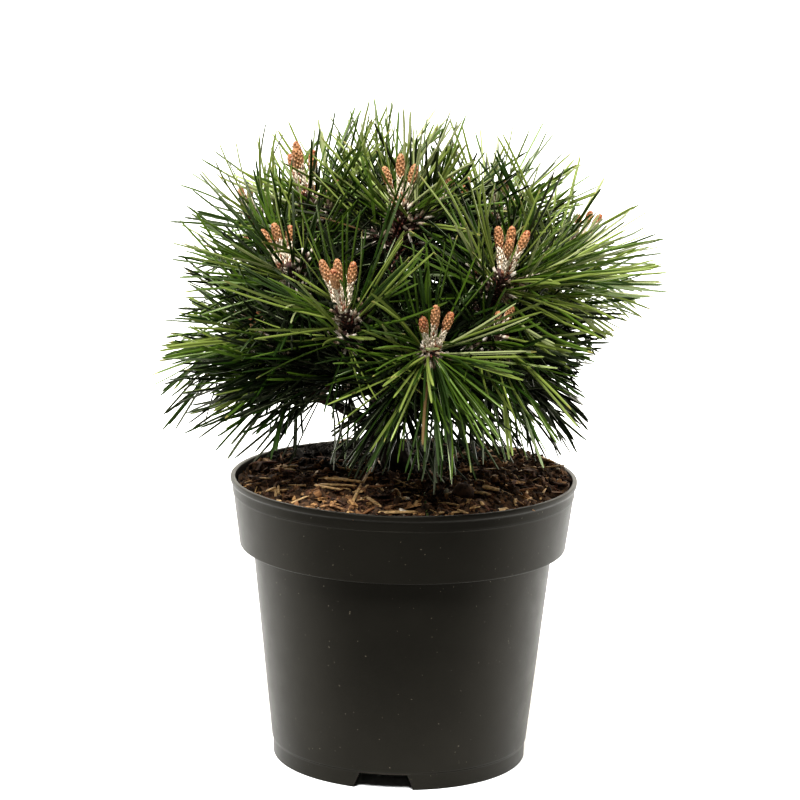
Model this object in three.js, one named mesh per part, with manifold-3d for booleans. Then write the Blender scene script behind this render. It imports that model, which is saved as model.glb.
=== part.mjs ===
// A dwarf mountain pine, Pinus mugo, in its 2 litre nursery pot.
//
// Millimetres and degrees, +Z up. The origin is on the ground under the middle of the pot, and -Y is the
// plant's front. A bearing is an angle about the pot's axis, from +X towards +Y, so the front is at -90.
//
// The pot is a thin moulded shell with a wide collar, filled with bark compost. A short leaning trunk
// stands on the compost. Boughs leave it on all sides, and each one carries a mass of foliage: a stem
// that forks into shoots, each shoot with its needles in a spiral and, on most, a bunch of upright spring
// candles at its tip. Each needle stands for a few real ones, and is thicker than life.

import * as THREE from "three";
import { mergeVertices } from "three/addons/utils/BufferGeometryUtils.js";
import Module from "manifold-3d";

const wasm = await Module();
wasm.setup();

// ------------------------------------------------------------------------------- driving sizes

const GAP = 0.3; // clear space left between two pieces that touch

const POT = {
  rimRadius: 85.5,
  height: 141.6,
  wall: 1.3,
  lipHeight: 2.6,
  lipRound: 0.6,
  collarTopRadius: 84.5,
  collarBottomRadius: 80.6,
  collarBottom: 107.4, // height of the collar's lower edge
  bodyTopRadius: 74.2,
  bodyBottomRadius: 63.6,
  footRadius: 62.8,
  footWidth: 2.2,
  footHeight: 8,
  footStep: 0.5, // height over which the foot steps out to the body
  floor: 1.6,
  sides: 36,
};
const NOTCH = { count: 3, bearing: -96.7, topWidth: 23, bottomWidth: 30, depth: 13 };
const DRAIN = { count: 6, radius: 4.5, ring: 36, sides: 8 };

const SOIL = {
  level: 143.5,
  flatRadius: 17, // of the level ground round the trunk
  rings: 3,
  clearance: 2 * GAP, // from the pot's wall
  lump: 1.2, // height of the coarse lumps
  lumpPitch: 0.21, // in radians a millimetre
  finePitch: 0.34,
  fineShare: 0.6,
  edgeDrop: 4,
  tilt: 3.2,
  highBearing: 53, // the side where the compost lies highest
};

const TRUNK = {
  // the centre line, from just under the compost to the top, and the radius at each point
  line: [
    [-1, 4, SOIL.level - 4],
    [-6, 3, 152],
    [-12, 1, 165],
    [-11, -1, 184],
    [-8, -4, 210],
    [-7, -8, 234],
  ],
  radii: [7.0, 6.6, 6.1, 4.9, 4.1, 3.1],
  flare: 3.4, // how much wider the roots make the foot
  flareHeight: 15,
  lobes: 3,
  lobeDepth: 0.5,
  lobeTurn: 0.8,
  sides: 10,
  steps: 9,
};

const BOUGH = {
  startRadius: 3.6,
  endRadius: 2.5,
  reach: 0.46, // the share of the way to its shoots' middle where it enters its mass
  drop: 3, // how far it ends below that line
  bow: 0.1, // how far it bends up on the way, as a share of its length
  sides: 6,
  steps: 3,
};
const STEM = { length: 8, radius: 2.7, sides: 4 }; // carries a mass's shoots from its bough to their fork
const SHOOT = {
  rootRadius: 2.5,
  headRadius: 3.8,
  head: 0.6, // the share of its length where it starts to swell
  leaving: 0.35, // how far it runs on with its stem, and then with its own direction, as shares of its reach
  arriving: 0.5,
  sides: 4,
  steps: 3,
};
const NEEDLE = {
  length: 54,
  radius: 1.65, // at its root
  perShoot: 46,
  clothed: 34, // length of shoot that carries needles
  mostClothed: 0.75, // and the most of it, as a share of the shoot
  offset: 0.2, // how far off the shoot's middle it is rooted, as a share of the shoot's radius
  rootShare: 0.14, // the share of it, from the root, that may touch its own mass
  flatAngle: 98, // angle between shoot and needle at the lower end of the spiral
  steepAngle: 14, // and at the tip
  opening: 0.7, // how quickly it opens between them
  sway: 9,
  uneven: 0.12, // how much longer or shorter one may be
  sizes: [1, 0.86, 0.72], // tried in turn where a needle has little room
};
const CANDLE = {
  rootRadius: 1.2,
  radius: 2.9,
  widest: 0.8, // the share of its length where it is widest
  upwards: 0.7, // how strongly it turns up, against its shoot's own direction
  onwards: 0.4,
  splay: 15,
  firstTurn: 20,
  offset: 2.5, // of an outer one's root from the tip's middle
  sunk: 2,
  shortest: 0.78, // an outer one's length against the longest
  spread: 0.2,
  sides: 4,
};
const GOLDEN_ANGLE = 137.508;
const SEED = { rear: 7, candles: 100, needles: 200 };
const SHARED_DEPTH = 10; // how far a needle may reach past the middle line towards another mass
const REACH = new THREE.Box3(new THREE.Vector3(-124, -124, 150), new THREE.Vector3(127.5, 123, 329));

// The masses of foliage that face the front and sides. Each has the height where its bough leaves the trunk,
// null on the one that stands on the trunk's own tip, and its shoots, which fork from one stem: [bearing,
// distance from the axis, height, elevation it points at, number of candles, length of the longest candle].
const FRONT_MASSES = [
  {
    name: "top",
    boughHeight: null,
    shoots: [
      [-103, 20, 279, 78, 3, 26],
      [47, 23, 275, 64, 2, 16],
      [115, 25, 277, 80, 0, 0],
    ],
  },
  {
    name: "upper_left",
    boughHeight: 214,
    shoots: [
      [174, 51, 281, 66, 4, 26],
      [136, 52, 269, 60, 2, 16],
    ],
  },
  {
    name: "left",
    boughHeight: 190,
    shoots: [
      [-142, 74, 253, 44, 3, 24],
      [171, 79, 271, 50, 2, 14],
    ],
  },
  {
    name: "lower_left",
    boughHeight: 160,
    shoots: [
      [-157, 75, 216, 14, 2, 14],
      [179, 82, 216, -4, 1, 8],
      [-158, 62, 196, -26, 0, 0],
    ],
  },
  {
    name: "front_left",
    boughHeight: 178,
    shoots: [
      [-112, 81, 238, 38, 4, 27],
      [-132, 54, 199, -14, 0, 0],
    ],
  },
  {
    name: "front",
    boughHeight: 166,
    shoots: [
      [-82, 86, 222, 16, 3, 25],
      [-92, 52, 197, -8, 0, 0],
    ],
  },
  {
    name: "front_right",
    boughHeight: 176,
    shoots: [
      [-55, 74, 225, 22, 2, 17],
      [-16, 72, 234, 14, 1, 12],
    ],
  },
  {
    name: "right",
    boughHeight: 196,
    shoots: [
      [-53, 75, 254, 50, 4, 25],
      [7, 85, 260, 34, 3, 16],
      [-3, 80, 243, 2, 0, 0],
    ],
  },
  {
    name: "upper_right",
    boughHeight: 206,
    shoots: [
      [30, 50, 273, 66, 2, 16],
      [42, 70, 265, 52, 2, 15],
    ],
  },
  {
    name: "lower_right",
    boughHeight: 164,
    shoots: [
      [30, 46, 210, 2, 0, 0],
      [-16, 53, 205, -18, 0, 0],
    ],
  },
];

// The far side: columns of shoots one above the other, by a rule with a seeded sway.
const REAR = {
  names: ["back_right", "back", "back_left"],
  firstBearing: 62,
  lastBearing: 152,
  tiers: [
    { distance: 74, height: 211, elevation: 12, candles: 2, candle: 16 },
    { distance: 81, height: 240, elevation: 38, candles: 2, candle: 23 },
    { distance: 52, height: 264, elevation: 62, candles: 2, candle: 22 },
  ],
  bearingSway: 8,
  sizeSway: 4,
  boughHeight: 176,
  boughStep: 12,
};

// ------------------------------------------------------------------------------- small helpers

const { degToRad: radians, lerp, clamp } = THREE.MathUtils;
const UP = new THREE.Vector3(0, 0, 1);

// A repeatable stream of numbers from 0 to 1.
function seeded(seed) {
  let state = seed >>> 0;
  return () => {
    state = (state + 0x6d2b79f5) >>> 0;
    let t = Math.imul(state ^ (state >>> 15), 1 | state);
    t = (t + Math.imul(t ^ (t >>> 7), 61 | t)) ^ t;
    return ((t ^ (t >>> 14)) >>> 0) / 4294967296;
  };
}

const around = (random, size) => (random() * 2 - 1) * size;

function polar(bearing, distance, height) {
  const a = radians(bearing);
  return new THREE.Vector3(Math.cos(a) * distance, Math.sin(a) * distance, height);
}

// A closed three.js geometry as a manifold-3d solid.
function solidOf(geometry) {
  const bare = geometry.clone();
  bare.deleteAttribute("normal");
  bare.deleteAttribute("uv");
  const merged = mergeVertices(bare, 1e-4);
  const corners = merged.index.array;
  const kept = [];
  for (let i = 0; i < corners.length; i += 3) {
    const [a, b, c] = corners.subarray(i, i + 3);
    if (a !== b && b !== c && c !== a) kept.push(a, b, c);
  }
  return new wasm.Manifold(
    new wasm.Mesh({
      numProp: 3,
      vertProperties: merged.attributes.position.array,
      triVerts: new Uint32Array(kept),
    }),
  );
}

// The largest body of a solid, without loose scraps and with sealed hollows filled.
const whole = (solid) => solid.decompose().reduce((a, b) => (a.volume() > b.volume() ? a : b));

function geometryOf(solid) {
  const mesh = solid.getMesh();
  const geometry = new THREE.BufferGeometry();
  geometry.setAttribute("position", new THREE.BufferAttribute(mesh.vertProperties, mesh.numProp));
  geometry.setIndex(new THREE.BufferAttribute(mesh.triVerts, 1));
  geometry.computeVertexNormals();
  return geometry;
}

// A round bar bent along a curve, with its radius worked out along the way and round it.
function barAlong(curve, radiusAt, sides, steps) {
  const bar = new THREE.CylinderGeometry(1, 1, 1, sides, steps);
  const frames = curve.computeFrenetFrames(steps, false);
  const position = bar.attributes.position;
  const corner = new THREE.Vector3();
  for (let i = 0; i < position.count; i++) {
    corner.fromBufferAttribute(position, i);
    const step = Math.round((corner.y + 0.5) * steps);
    const along = step / steps;
    const side = new THREE.Vector3().crossVectors(frames.normals[step], frames.tangents[step]);
    const radius = radiusAt(along, Math.atan2(corner.z, corner.x));
    const place = curve
      .getPointAt(along)
      .addScaledVector(frames.normals[step], corner.x * radius)
      .addScaledVector(side, corner.z * radius);
    position.setXYZ(i, place.x, place.y, place.z);
  }
  return bar;
}

// A straight piece modelled along +Y from its root, stood on a point and turned to a direction.
function stand(geometry, root, direction) {
  const turn = new THREE.Quaternion().setFromUnitVectors(new THREE.Vector3(0, 1, 0), direction);
  return geometry.applyQuaternion(turn).translate(root.x, root.y, root.z);
}

// The least distance between two tapering round pieces, each { from, to, fromRadius, toRadius }.
function clearance(p, q) {
  const u = new THREE.Vector3().subVectors(p.to, p.from);
  const v = new THREE.Vector3().subVectors(q.to, q.from);
  const w = new THREE.Vector3().subVectors(p.from, q.from);
  const [a, b, c, d, e] = [u.dot(u), u.dot(v), v.dot(v), u.dot(w), v.dot(w)];
  const across = a * c - b * b;
  let s = across > 1e-9 ? clamp((b * e - c * d) / across, 0, 1) : 0;
  const t = clamp((b * s + e) / c, 0, 1);
  s = clamp((b * t - d) / a, 0, 1);
  const gap = w.addScaledVector(u, s).addScaledVector(v, -t).length();
  return gap - lerp(p.fromRadius, p.toRadius, s) - lerp(q.fromRadius, q.toRadius, t);
}

// A curve as a chain of short tapering pieces, to test what comes near it.
function chain(curve, radiusAt, count, owner) {
  return Array.from({ length: count }, (_, i) => ({
    from: curve.getPointAt(i / count),
    to: curve.getPointAt((i + 1) / count),
    fromRadius: radiusAt(i / count),
    toRadius: radiusAt((i + 1) / count),
    isRoot: true,
    owner,
  }));
}

// ------------------------------------------------------------------------------- materials

const finish = (color, roughness) => new THREE.MeshStandardMaterial({ color, roughness, metalness: 0 });
const MATERIALS = {
  plastic: finish(0x2b2c29, 0.55),
  compost: finish(0x3a2417, 0.95),
  bark: finish(0x46301f, 0.9),
  needles: finish(0x3d6126, 0.6),
};

const plant = new THREE.Group();

function addNode(name, solid, material) {
  const mesh = new THREE.Mesh(geometryOf(solid), material);
  mesh.name = name;
  plant.add(mesh);
}

// ------------------------------------------------------------------------------- pot

// The inside wall's radius at a height, in the body and in the collar. The compost follows both.
function bodyInside(height) {
  const share = (height - POT.footHeight) / (POT.collarBottom - POT.footHeight);
  return lerp(POT.bodyBottomRadius, POT.bodyTopRadius, share) - POT.wall;
}

function collarInside(height) {
  const share = (height - POT.collarBottom) / (POT.height - POT.collarBottom);
  return lerp(POT.collarBottomRadius, POT.collarTopRadius, share) - POT.wall;
}

// A profile of [radius, height] turned about +Z.
function lathe(profile) {
  const points = profile.map(([radius, height]) => new THREE.Vector2(radius, height));
  return new THREE.LatheGeometry(points, POT.sides).rotateX(Math.PI / 2);
}

function makePot() {
  const floorTop = POT.footHeight + POT.floor;
  const stepTop = POT.collarBottom + POT.wall;
  const lipBottom = POT.height - POT.lipHeight;
  const profile = [
    [0, POT.footHeight],
    [POT.footRadius - POT.footWidth, POT.footHeight],
    [POT.footRadius - POT.footWidth, 0],
    [POT.footRadius, 0],
    [POT.footRadius, POT.footHeight],
    [POT.bodyBottomRadius, POT.footHeight + POT.footStep],
    [POT.bodyTopRadius, POT.collarBottom],
    [POT.collarBottomRadius, POT.collarBottom],
    [POT.collarTopRadius, lipBottom - POT.lipRound],
    [POT.rimRadius, lipBottom + POT.lipRound],
    [POT.rimRadius, POT.height - POT.lipRound],
    [POT.rimRadius - POT.lipRound, POT.height],
    [POT.collarTopRadius - POT.wall, POT.height],
    [collarInside(stepTop), stepTop],
    [bodyInside(stepTop), stepTop],
    [bodyInside(floorTop), floorTop],
    [0, floorTop],
  ];
  let pot = solidOf(lathe(profile));
  for (let i = 0; i < NOTCH.count; i++) pot = pot.subtract(notch(NOTCH.bearing + (360 / NOTCH.count) * i));
  for (let i = 0; i < DRAIN.count; i++) pot = pot.subtract(drain((360 / DRAIN.count) * i));
  addNode("pot", pot, MATERIALS.plastic);
}

// A drain hole, right through the floor.
function drain(bearing) {
  const place = polar(bearing, DRAIN.ring, POT.footHeight);
  const hole = new THREE.CylinderGeometry(DRAIN.radius, DRAIN.radius, 4 * POT.floor, DRAIN.sides);
  return solidOf(hole.rotateX(Math.PI / 2).translate(place.x, place.y, place.z));
}

// The wedge that opens the foot ring, narrower at the top.
function notch(bearing) {
  const under = 1; // how far it passes below the ground
  const face = new THREE.Shape();
  face.moveTo(-NOTCH.bottomWidth / 2, -under);
  face.lineTo(NOTCH.bottomWidth / 2, -under);
  face.lineTo(NOTCH.topWidth / 2, POT.footHeight - GAP);
  face.lineTo(-NOTCH.topWidth / 2, POT.footHeight - GAP);
  const wedge = new THREE.ExtrudeGeometry(face, { depth: NOTCH.depth, bevelEnabled: false });
  wedge.rotateX(Math.PI / 2).rotateZ(radians(bearing + 90));
  const start = polar(bearing, POT.footRadius - NOTCH.depth / 2, 0);
  return solidOf(wedge.translate(start.x, start.y, start.z));
}

// ------------------------------------------------------------------------------- compost

// The compost's top: level round the trunk, then lumpy, and falling towards the rim on all but one side.
function soilHeight(x, y) {
  const outward = clamp((Math.hypot(x, y) - SOIL.flatRadius) / (POT.collarTopRadius - SOIL.flatRadius), 0, 1);
  const coarse = Math.sin(x * SOIL.lumpPitch + 1) * Math.cos(y * SOIL.lumpPitch);
  const fine = SOIL.fineShare * Math.sin((x - y) * SOIL.finePitch);
  const slope = Math.cos(Math.atan2(y, x) - radians(SOIL.highBearing));
  const lumps = SOIL.lump * Math.min(1, SOIL.rings * outward) * (coarse + fine);
  return SOIL.level + lumps + outward ** 2 * (SOIL.tilt * slope - SOIL.edgeDrop);
}

function makeSoil() {
  const bottom = POT.footHeight + POT.floor + GAP;
  const ledge = POT.collarBottom + POT.wall + GAP;
  const edge = collarInside(SOIL.level - 2 * SOIL.edgeDrop) - SOIL.clearance;
  const top = Array.from({ length: SOIL.rings + 1 }, (_, i) => [
    lerp(edge, SOIL.flatRadius, i / SOIL.rings),
    SOIL.level,
  ]);
  const geometry = lathe([
    [0, bottom],
    [bodyInside(bottom) - SOIL.clearance, bottom],
    [bodyInside(ledge) - SOIL.clearance, ledge],
    [collarInside(ledge) - SOIL.clearance, ledge],
    ...top,
    [0, SOIL.level],
  ]);
  const position = geometry.attributes.position;
  for (let i = 0; i < position.count; i++) {
    const [x, y, z] = [position.getX(i), position.getY(i), position.getZ(i)];
    if (z > ledge + GAP) position.setZ(i, soilHeight(x, y));
  }
  addNode("compost", solidOf(geometry), MATERIALS.compost);
}

// ------------------------------------------------------------------------------- trunk and boughs

const vectors = (rows) => rows.map((row) => new THREE.Vector3(...row));
const trunkLine = new THREE.CatmullRomCurve3(vectors(TRUNK.line));

function trunkRadius(along, angle, extra = 0) {
  const place = along * (TRUNK.radii.length - 1);
  const i = Math.min(TRUNK.radii.length - 2, Math.floor(place));
  const radius = lerp(TRUNK.radii[i], TRUNK.radii[i + 1], place - i);
  const rise = along * trunkLine.getLength();
  const foot = Math.max(0, 1 - rise / TRUNK.flareHeight) ** 2;
  const lobe = 1 + TRUNK.lobeDepth * Math.cos(TRUNK.lobes * angle + TRUNK.lobeTurn);
  return radius + extra + TRUNK.flare * foot * lobe;
}

// The trunk, made wider by extra, with its flat cut at the compost.
function trunkBar(extra) {
  const bar = barAlong(trunkLine, (u, angle) => trunkRadius(u, angle, extra), TRUNK.sides, TRUNK.steps);
  const size = 4 * SOIL.flatRadius;
  const ground = new THREE.BoxGeometry(size, size, size).translate(0, 0, SOIL.level + GAP - size / 2);
  return solidOf(bar).subtract(solidOf(ground));
}

// The point on the trunk's centre line at a height.
function onTrunk(height) {
  const points = trunkLine.getSpacedPoints(TRUNK.steps ** 2);
  return points.reduce((best, p) => (Math.abs(p.z - height) < Math.abs(best.z - height) ? p : best));
}

// ------------------------------------------------------------------------------- plan of the crown

function rearMasses() {
  const random = seeded(SEED.rear);
  const step = (REAR.lastBearing - REAR.firstBearing) / (REAR.names.length - 1);
  return REAR.names.map((name, column) => ({
    name,
    boughHeight: REAR.boughHeight + REAR.boughStep * column,
    shoots: REAR.tiers.map((tier) => [
      REAR.firstBearing + step * column + around(random, REAR.bearingSway),
      tier.distance + around(random, REAR.sizeSway),
      tier.height + around(random, REAR.sizeSway),
      tier.elevation,
      tier.candles,
      tier.candle,
    ]),
  }));
}

// Turns a row of the plan into places: where each shoot ends and points, and where the mass's stem starts.
function planMass({ name, boughHeight, shoots }, index) {
  const ends = shoots.map(([bearing, distance, height, elevation, candles, candle]) => {
    const rise = radians(elevation);
    const pointing = polar(bearing, Math.cos(rise), Math.sin(rise));
    return { tip: polar(bearing, distance, height), pointing, candles, candle };
  });
  const middle = ends.reduce((sum, end) => sum.add(end.tip), new THREE.Vector3()).divideScalar(ends.length);
  const onTip = boughHeight === null;
  const root = onTip ? trunkLine.getPoint(1) : onTrunk(boughHeight);
  const start = root.clone();
  if (!onTip) start.lerp(middle, BOUGH.reach).addScaledVector(UP, -BOUGH.drop);
  return { name, owner: "foliage_" + name, index, ends, root, start, onTip };
}

const masses = [...FRONT_MASSES, ...rearMasses()].map(planMass);

// A bough leaves the trunk outwards and up, and levels out to where its mass starts.
function boughCurve(mass) {
  const bow = BOUGH.bow * mass.root.distanceTo(mass.start);
  const middle = mass.root.clone().lerp(mass.start, 0.5).addScaledVector(UP, bow);
  return new THREE.QuadraticBezierCurve3(mass.root, middle, mass.start);
}

function makeTrunkAndBoughs() {
  addNode("trunk", trunkBar(0), MATERIALS.bark);
  const keepOut = trunkBar(GAP);
  const limbs = chain(trunkLine, (u) => trunkRadius(u, 0), TRUNK.steps, "trunk");
  const radius = (u) => lerp(BOUGH.startRadius, BOUGH.endRadius, u);
  for (const mass of masses.filter((m) => !m.onTip)) {
    const curve = boughCurve(mass);
    const bough = solidOf(barAlong(curve, radius, BOUGH.sides, BOUGH.steps)).subtract(keepOut);
    addNode("bough_" + mass.name, whole(bough), MATERIALS.bark);
    limbs.push(...chain(curve, radius, BOUGH.steps, "bough_" + mass.name));
    mass.stemDirection = curve.getTangent(1);
  }
  return limbs;
}

// ------------------------------------------------------------------------------- foliage

// A mass's stem runs straight on from its bough to a fork, and each shoot bends from there to its tip.
function planTwigs(mass) {
  const direction = mass.stemDirection ?? trunkLine.getTangent(1);
  const start = mass.start.clone().addScaledVector(direction, GAP);
  const fork = start.clone().addScaledVector(direction, STEM.length);
  mass.stem = new THREE.LineCurve3(start, fork.clone().addScaledVector(direction, SHOOT.rootRadius));
  mass.ends.forEach((end) => {
    const reach = end.tip.distanceTo(fork);
    const leaving = fork.clone().addScaledVector(direction, SHOOT.leaving * reach);
    const arriving = end.tip.clone().addScaledVector(end.pointing, -SHOOT.arriving * reach);
    end.curve = new THREE.CubicBezierCurve3(fork, leaving, arriving, end.tip);
  });
}

function shootRadius(along) {
  const swell = Math.max(0, (along - SHOOT.head) / (1 - SHOOT.head));
  return lerp(SHOOT.rootRadius, SHOOT.headRadius, swell);
}

// A slim turned piece along +Y, from a profile of [radius, share of its length].
function slim(profile, length, sides) {
  return new THREE.LatheGeometry(
    profile.map(([radius, share]) => new THREE.Vector2(radius, share * length)),
    sides,
  );
}

// A needle: three-sided, from its root to its point.
const NEEDLE_PROFILE = [
  [0, 0],
  [NEEDLE.radius, 0],
  [0, 1],
];
const needle = (length) => slim(NEEDLE_PROFILE, length, 3);

// A candle: a slim stalk that swells to a rounded head.
const CANDLE_PROFILE = [
  [0, 0],
  [CANDLE.rootRadius, 0],
  [CANDLE.radius, CANDLE.widest],
  [0, 1],
];
const candle = (length) => slim(CANDLE_PROFILE, length, CANDLE.sides);

// A straight piece as tapering sections, cut at rows of [share of its length, radius]. The first section is
// the root, which may touch its own mass.
function sections({ root, direction, size }, rows, owner) {
  return rows.slice(1).map(([share, radius], i) => ({
    from: root.clone().addScaledVector(direction, size * rows[i][0]),
    to: root.clone().addScaledVector(direction, size * share),
    fromRadius: rows[i][1],
    toRadius: radius,
    isRoot: i === 0,
    owner,
  }));
}

const NEEDLE_ROWS = [
  [0, NEEDLE.radius],
  [NEEDLE.rootShare, NEEDLE.radius * (1 - NEEDLE.rootShare)],
  [1, 0],
];
const CANDLE_ROWS = [
  [0, CANDLE.rootRadius],
  [CANDLE.widest / 2, CANDLE.radius],
  [1, CANDLE.radius],
];

// A shoot's needles, in a golden-angle spiral down from its tip.
function needleRule(end, random) {
  const { curve } = end;
  const length = curve.getLength();
  return Array.from({ length: NEEDLE.perShoot }, (_, k) => {
    const share = (k + 0.5) / NEEDLE.perShoot; // 0 at the tip, 1 at the lower end
    const along = 1 - share * Math.min(NEEDLE.clothed / length, NEEDLE.mostClothed);
    const axis = curve.getTangentAt(along);
    const side = new THREE.Vector3().crossVectors(axis, UP).normalize();
    side.applyAxisAngle(axis, radians(k * GOLDEN_ANGLE));
    const lean = lerp(NEEDLE.steepAngle, NEEDLE.flatAngle, share ** NEEDLE.opening);
    const angle = radians(lean + around(random, NEEDLE.sway));
    const direction = axis.clone().multiplyScalar(Math.cos(angle)).addScaledVector(side, Math.sin(angle));
    const size = NEEDLE.length * (1 + around(random, NEEDLE.uneven));
    const root = curve.getPointAt(along).addScaledVector(side, NEEDLE.offset * shootRadius(along));
    return { root, direction: direction.normalize(), size };
  });
}

// The candles at a shoot's tip: one upright in the middle of three or more, and the others splayed round it.
function candleRule(end, random) {
  const upright = UP.clone().multiplyScalar(CANDLE.upwards).addScaledVector(end.pointing, CANDLE.onwards);
  upright.normalize();
  const middle = end.candles === 2 ? 0 : 1;
  const splay = Math.tan(radians(CANDLE.splay));
  return Array.from({ length: end.candles }, (_, i) => {
    const turn = radians((360 / Math.max(1, end.candles - middle)) * i + CANDLE.firstTurn);
    const side = new THREE.Vector3(Math.cos(turn), Math.sin(turn), 0);
    const apart = i < middle ? 0 : 1 / (2 - middle);
    const direction = upright.clone().addScaledVector(side, apart * splay).normalize();
    const root = end.tip.clone().addScaledVector(side, apart * CANDLE.offset);
    const size = end.candle * (i === 0 ? 1 : CANDLE.shortest + CANDLE.spread * random());
    return { root: root.addScaledVector(direction, -CANDLE.sunk), direction, size };
  });
}

// Whether a tip stays in its mass's space: within reach, and nearer to its own shoots than to another mass's.
function inOwnSpace(tip, mass) {
  const nearest = (m) => Math.min(...m.ends.map((end) => end.tip.distanceTo(tip)));
  const own = nearest(mass);
  return REACH.containsPoint(tip) && masses.every((m) => m === mass || own < nearest(m) + SHARED_DEPTH);
}

// Whether a needle stays in its mass's space and clear of everything that stands already.
function hasRoom(one, mass, standing) {
  const pieces = sections(one, NEEDLE_ROWS, mass.owner);
  if (!inOwnSpace(pieces.at(-1).to, mass)) return false;
  return standing.every((other) => {
    const mine = other.owner === mass.owner;
    const room = mine ? 0 : GAP;
    return pieces.every((piece) => (mine && piece.isRoot && other.isRoot) || clearance(piece, other) > room);
  });
}

// A mass's wood and candles: its stem, its shoots and what stands at their tips.
function growTwigs(mass, standing) {
  const random = seeded(SEED.candles + mass.index);
  mass.parts = [solidOf(barAlong(mass.stem, () => STEM.radius, STEM.sides, 1))];
  standing.push(...chain(mass.stem, () => STEM.radius, 1, mass.owner));
  for (const end of mass.ends) {
    mass.parts.push(solidOf(barAlong(end.curve, shootRadius, SHOOT.sides, SHOOT.steps)));
    standing.push(...chain(end.curve, shootRadius, 2 * SHOOT.steps, mass.owner));
    for (const one of candleRule(end, random)) {
      mass.parts.push(solidOf(stand(candle(one.size), one.root, one.direction)));
      standing.push(...sections(one, CANDLE_ROWS, mass.owner));
    }
  }
}

// A mass's needles: each that finds room, at its full length or a shorter one.
function growNeedles(mass, standing) {
  const random = seeded(SEED.needles + mass.index);
  for (const end of mass.ends) {
    for (const one of needleRule(end, random)) {
      const fits = NEEDLE.sizes.find((share) => hasRoom({ ...one, size: one.size * share }, mass, standing));
      if (!fits) continue;
      one.size *= fits;
      mass.parts.push(solidOf(stand(needle(one.size), one.root, one.direction)));
      standing.push(...sections(one, NEEDLE_ROWS, mass.owner));
    }
  }
}

// ------------------------------------------------------------------------------- the whole plant

makePot();
makeSoil();
const standing = makeTrunkAndBoughs();
masses.forEach(planTwigs);
for (const mass of masses) growTwigs(mass, standing);
for (const mass of masses) growNeedles(mass, standing);
for (const mass of masses) addNode(mass.owner, whole(wasm.Manifold.union(mass.parts)), MATERIALS.needles);

export default plant;
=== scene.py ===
"""A dwarf mountain pine in its two litre nursery pot.

The plant grows by one rule: boughs leave a leaning trunk on all sides, each carries a stem that forks into
shoots, and each shoot has its needles in a golden-angle spiral and a bunch of candles at its tip. The rule is
in millimetres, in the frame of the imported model; the meshes are in metres.
"""

import math

import bmesh
import bpy
import numpy as np
from bpy.props import FloatProperty, FloatVectorProperty, IntProperty, PointerProperty
from mathutils import Matrix, Vector, noise


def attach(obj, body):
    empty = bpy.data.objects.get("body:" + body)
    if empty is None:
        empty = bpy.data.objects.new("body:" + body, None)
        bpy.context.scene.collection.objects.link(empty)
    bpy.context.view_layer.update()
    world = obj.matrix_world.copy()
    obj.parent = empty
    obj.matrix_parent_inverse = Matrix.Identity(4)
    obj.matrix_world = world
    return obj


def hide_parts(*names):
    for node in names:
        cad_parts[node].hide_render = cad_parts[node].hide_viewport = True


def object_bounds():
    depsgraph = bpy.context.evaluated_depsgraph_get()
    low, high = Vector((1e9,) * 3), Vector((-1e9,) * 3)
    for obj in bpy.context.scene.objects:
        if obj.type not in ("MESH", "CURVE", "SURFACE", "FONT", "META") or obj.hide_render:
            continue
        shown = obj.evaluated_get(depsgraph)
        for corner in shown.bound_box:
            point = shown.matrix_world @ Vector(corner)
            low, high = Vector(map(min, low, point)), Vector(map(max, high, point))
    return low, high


bl_info = {
    "name": "Potted mountain pine",
    "version": (1, 0, 0),
    "blender": (4, 5, 0),
    "location": "View3D > Sidebar > Pine",
    "description": "Builds a dwarf mountain pine in a nursery pot around its packed model",
    "category": "Add Mesh",
}

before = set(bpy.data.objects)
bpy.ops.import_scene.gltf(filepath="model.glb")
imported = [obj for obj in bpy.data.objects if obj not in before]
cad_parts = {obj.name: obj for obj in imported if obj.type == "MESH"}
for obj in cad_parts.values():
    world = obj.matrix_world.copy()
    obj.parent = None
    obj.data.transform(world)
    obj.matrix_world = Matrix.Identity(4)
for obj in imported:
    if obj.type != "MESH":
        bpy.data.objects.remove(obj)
CAD_BOX = [list(corner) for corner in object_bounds()]

MM = 0.001
GOLDEN_ANGLE = math.radians(137.508)
UP = np.array([0.0, 0.0, 1.0])
RNG = np.random.default_rng
TINY = 1e-9
WELD = 1e-6  # corners nearer than this are one
FAR = 9  # a distance or share that is out of the way

# ------------------------------------------------------------ sizes the solids have too

GAP = 0.3  # between two pieces that touch
SOIL_LEVEL = 143.5
TRUNK = {
    "line": [
        (-1, 4, SOIL_LEVEL - 4),
        (-6, 3, 152),
        (-12, 1, 165),
        (-11, -1, 184),
        (-8, -4, 210),
        (-7, -8, 234),
    ],
    "radii": (7.0, 6.6, 6.1, 4.9, 4.1, 3.1),
    "flare": 3.4,
    "flare_height": 15,
    "lobes": 3,
    "lobe_depth": 0.5,
    "lobe_turn": 0.8,
    "steps": 9,
}
BOUGH = {"start": 3.6, "end": 2.5, "reach": 0.46, "drop": 3, "bow": 0.1}
STEM = {"length": 8, "radius": 2.7}
SHOOT = {"root": 2.5, "tip": 3.8, "swell_from": 0.6, "leaving": 0.35, "arriving": 0.5}
NEEDLE = {"clothed": 34, "most_clothed": 0.75, "flat": 98, "steep": 14, "opening": 0.7, "sway": 9}
CANDLE = {
    "upwards": 0.7,
    "onwards": 0.4,
    "splay": 15,
    "first_turn": 20,
    "offset": 2.5,
    "sunk": 2,
    "shortest": 0.78,
    "spread": 0.2,
    "radius": 2.9,
}
SEED = {"rear": 7, "candles": 100}

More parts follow.
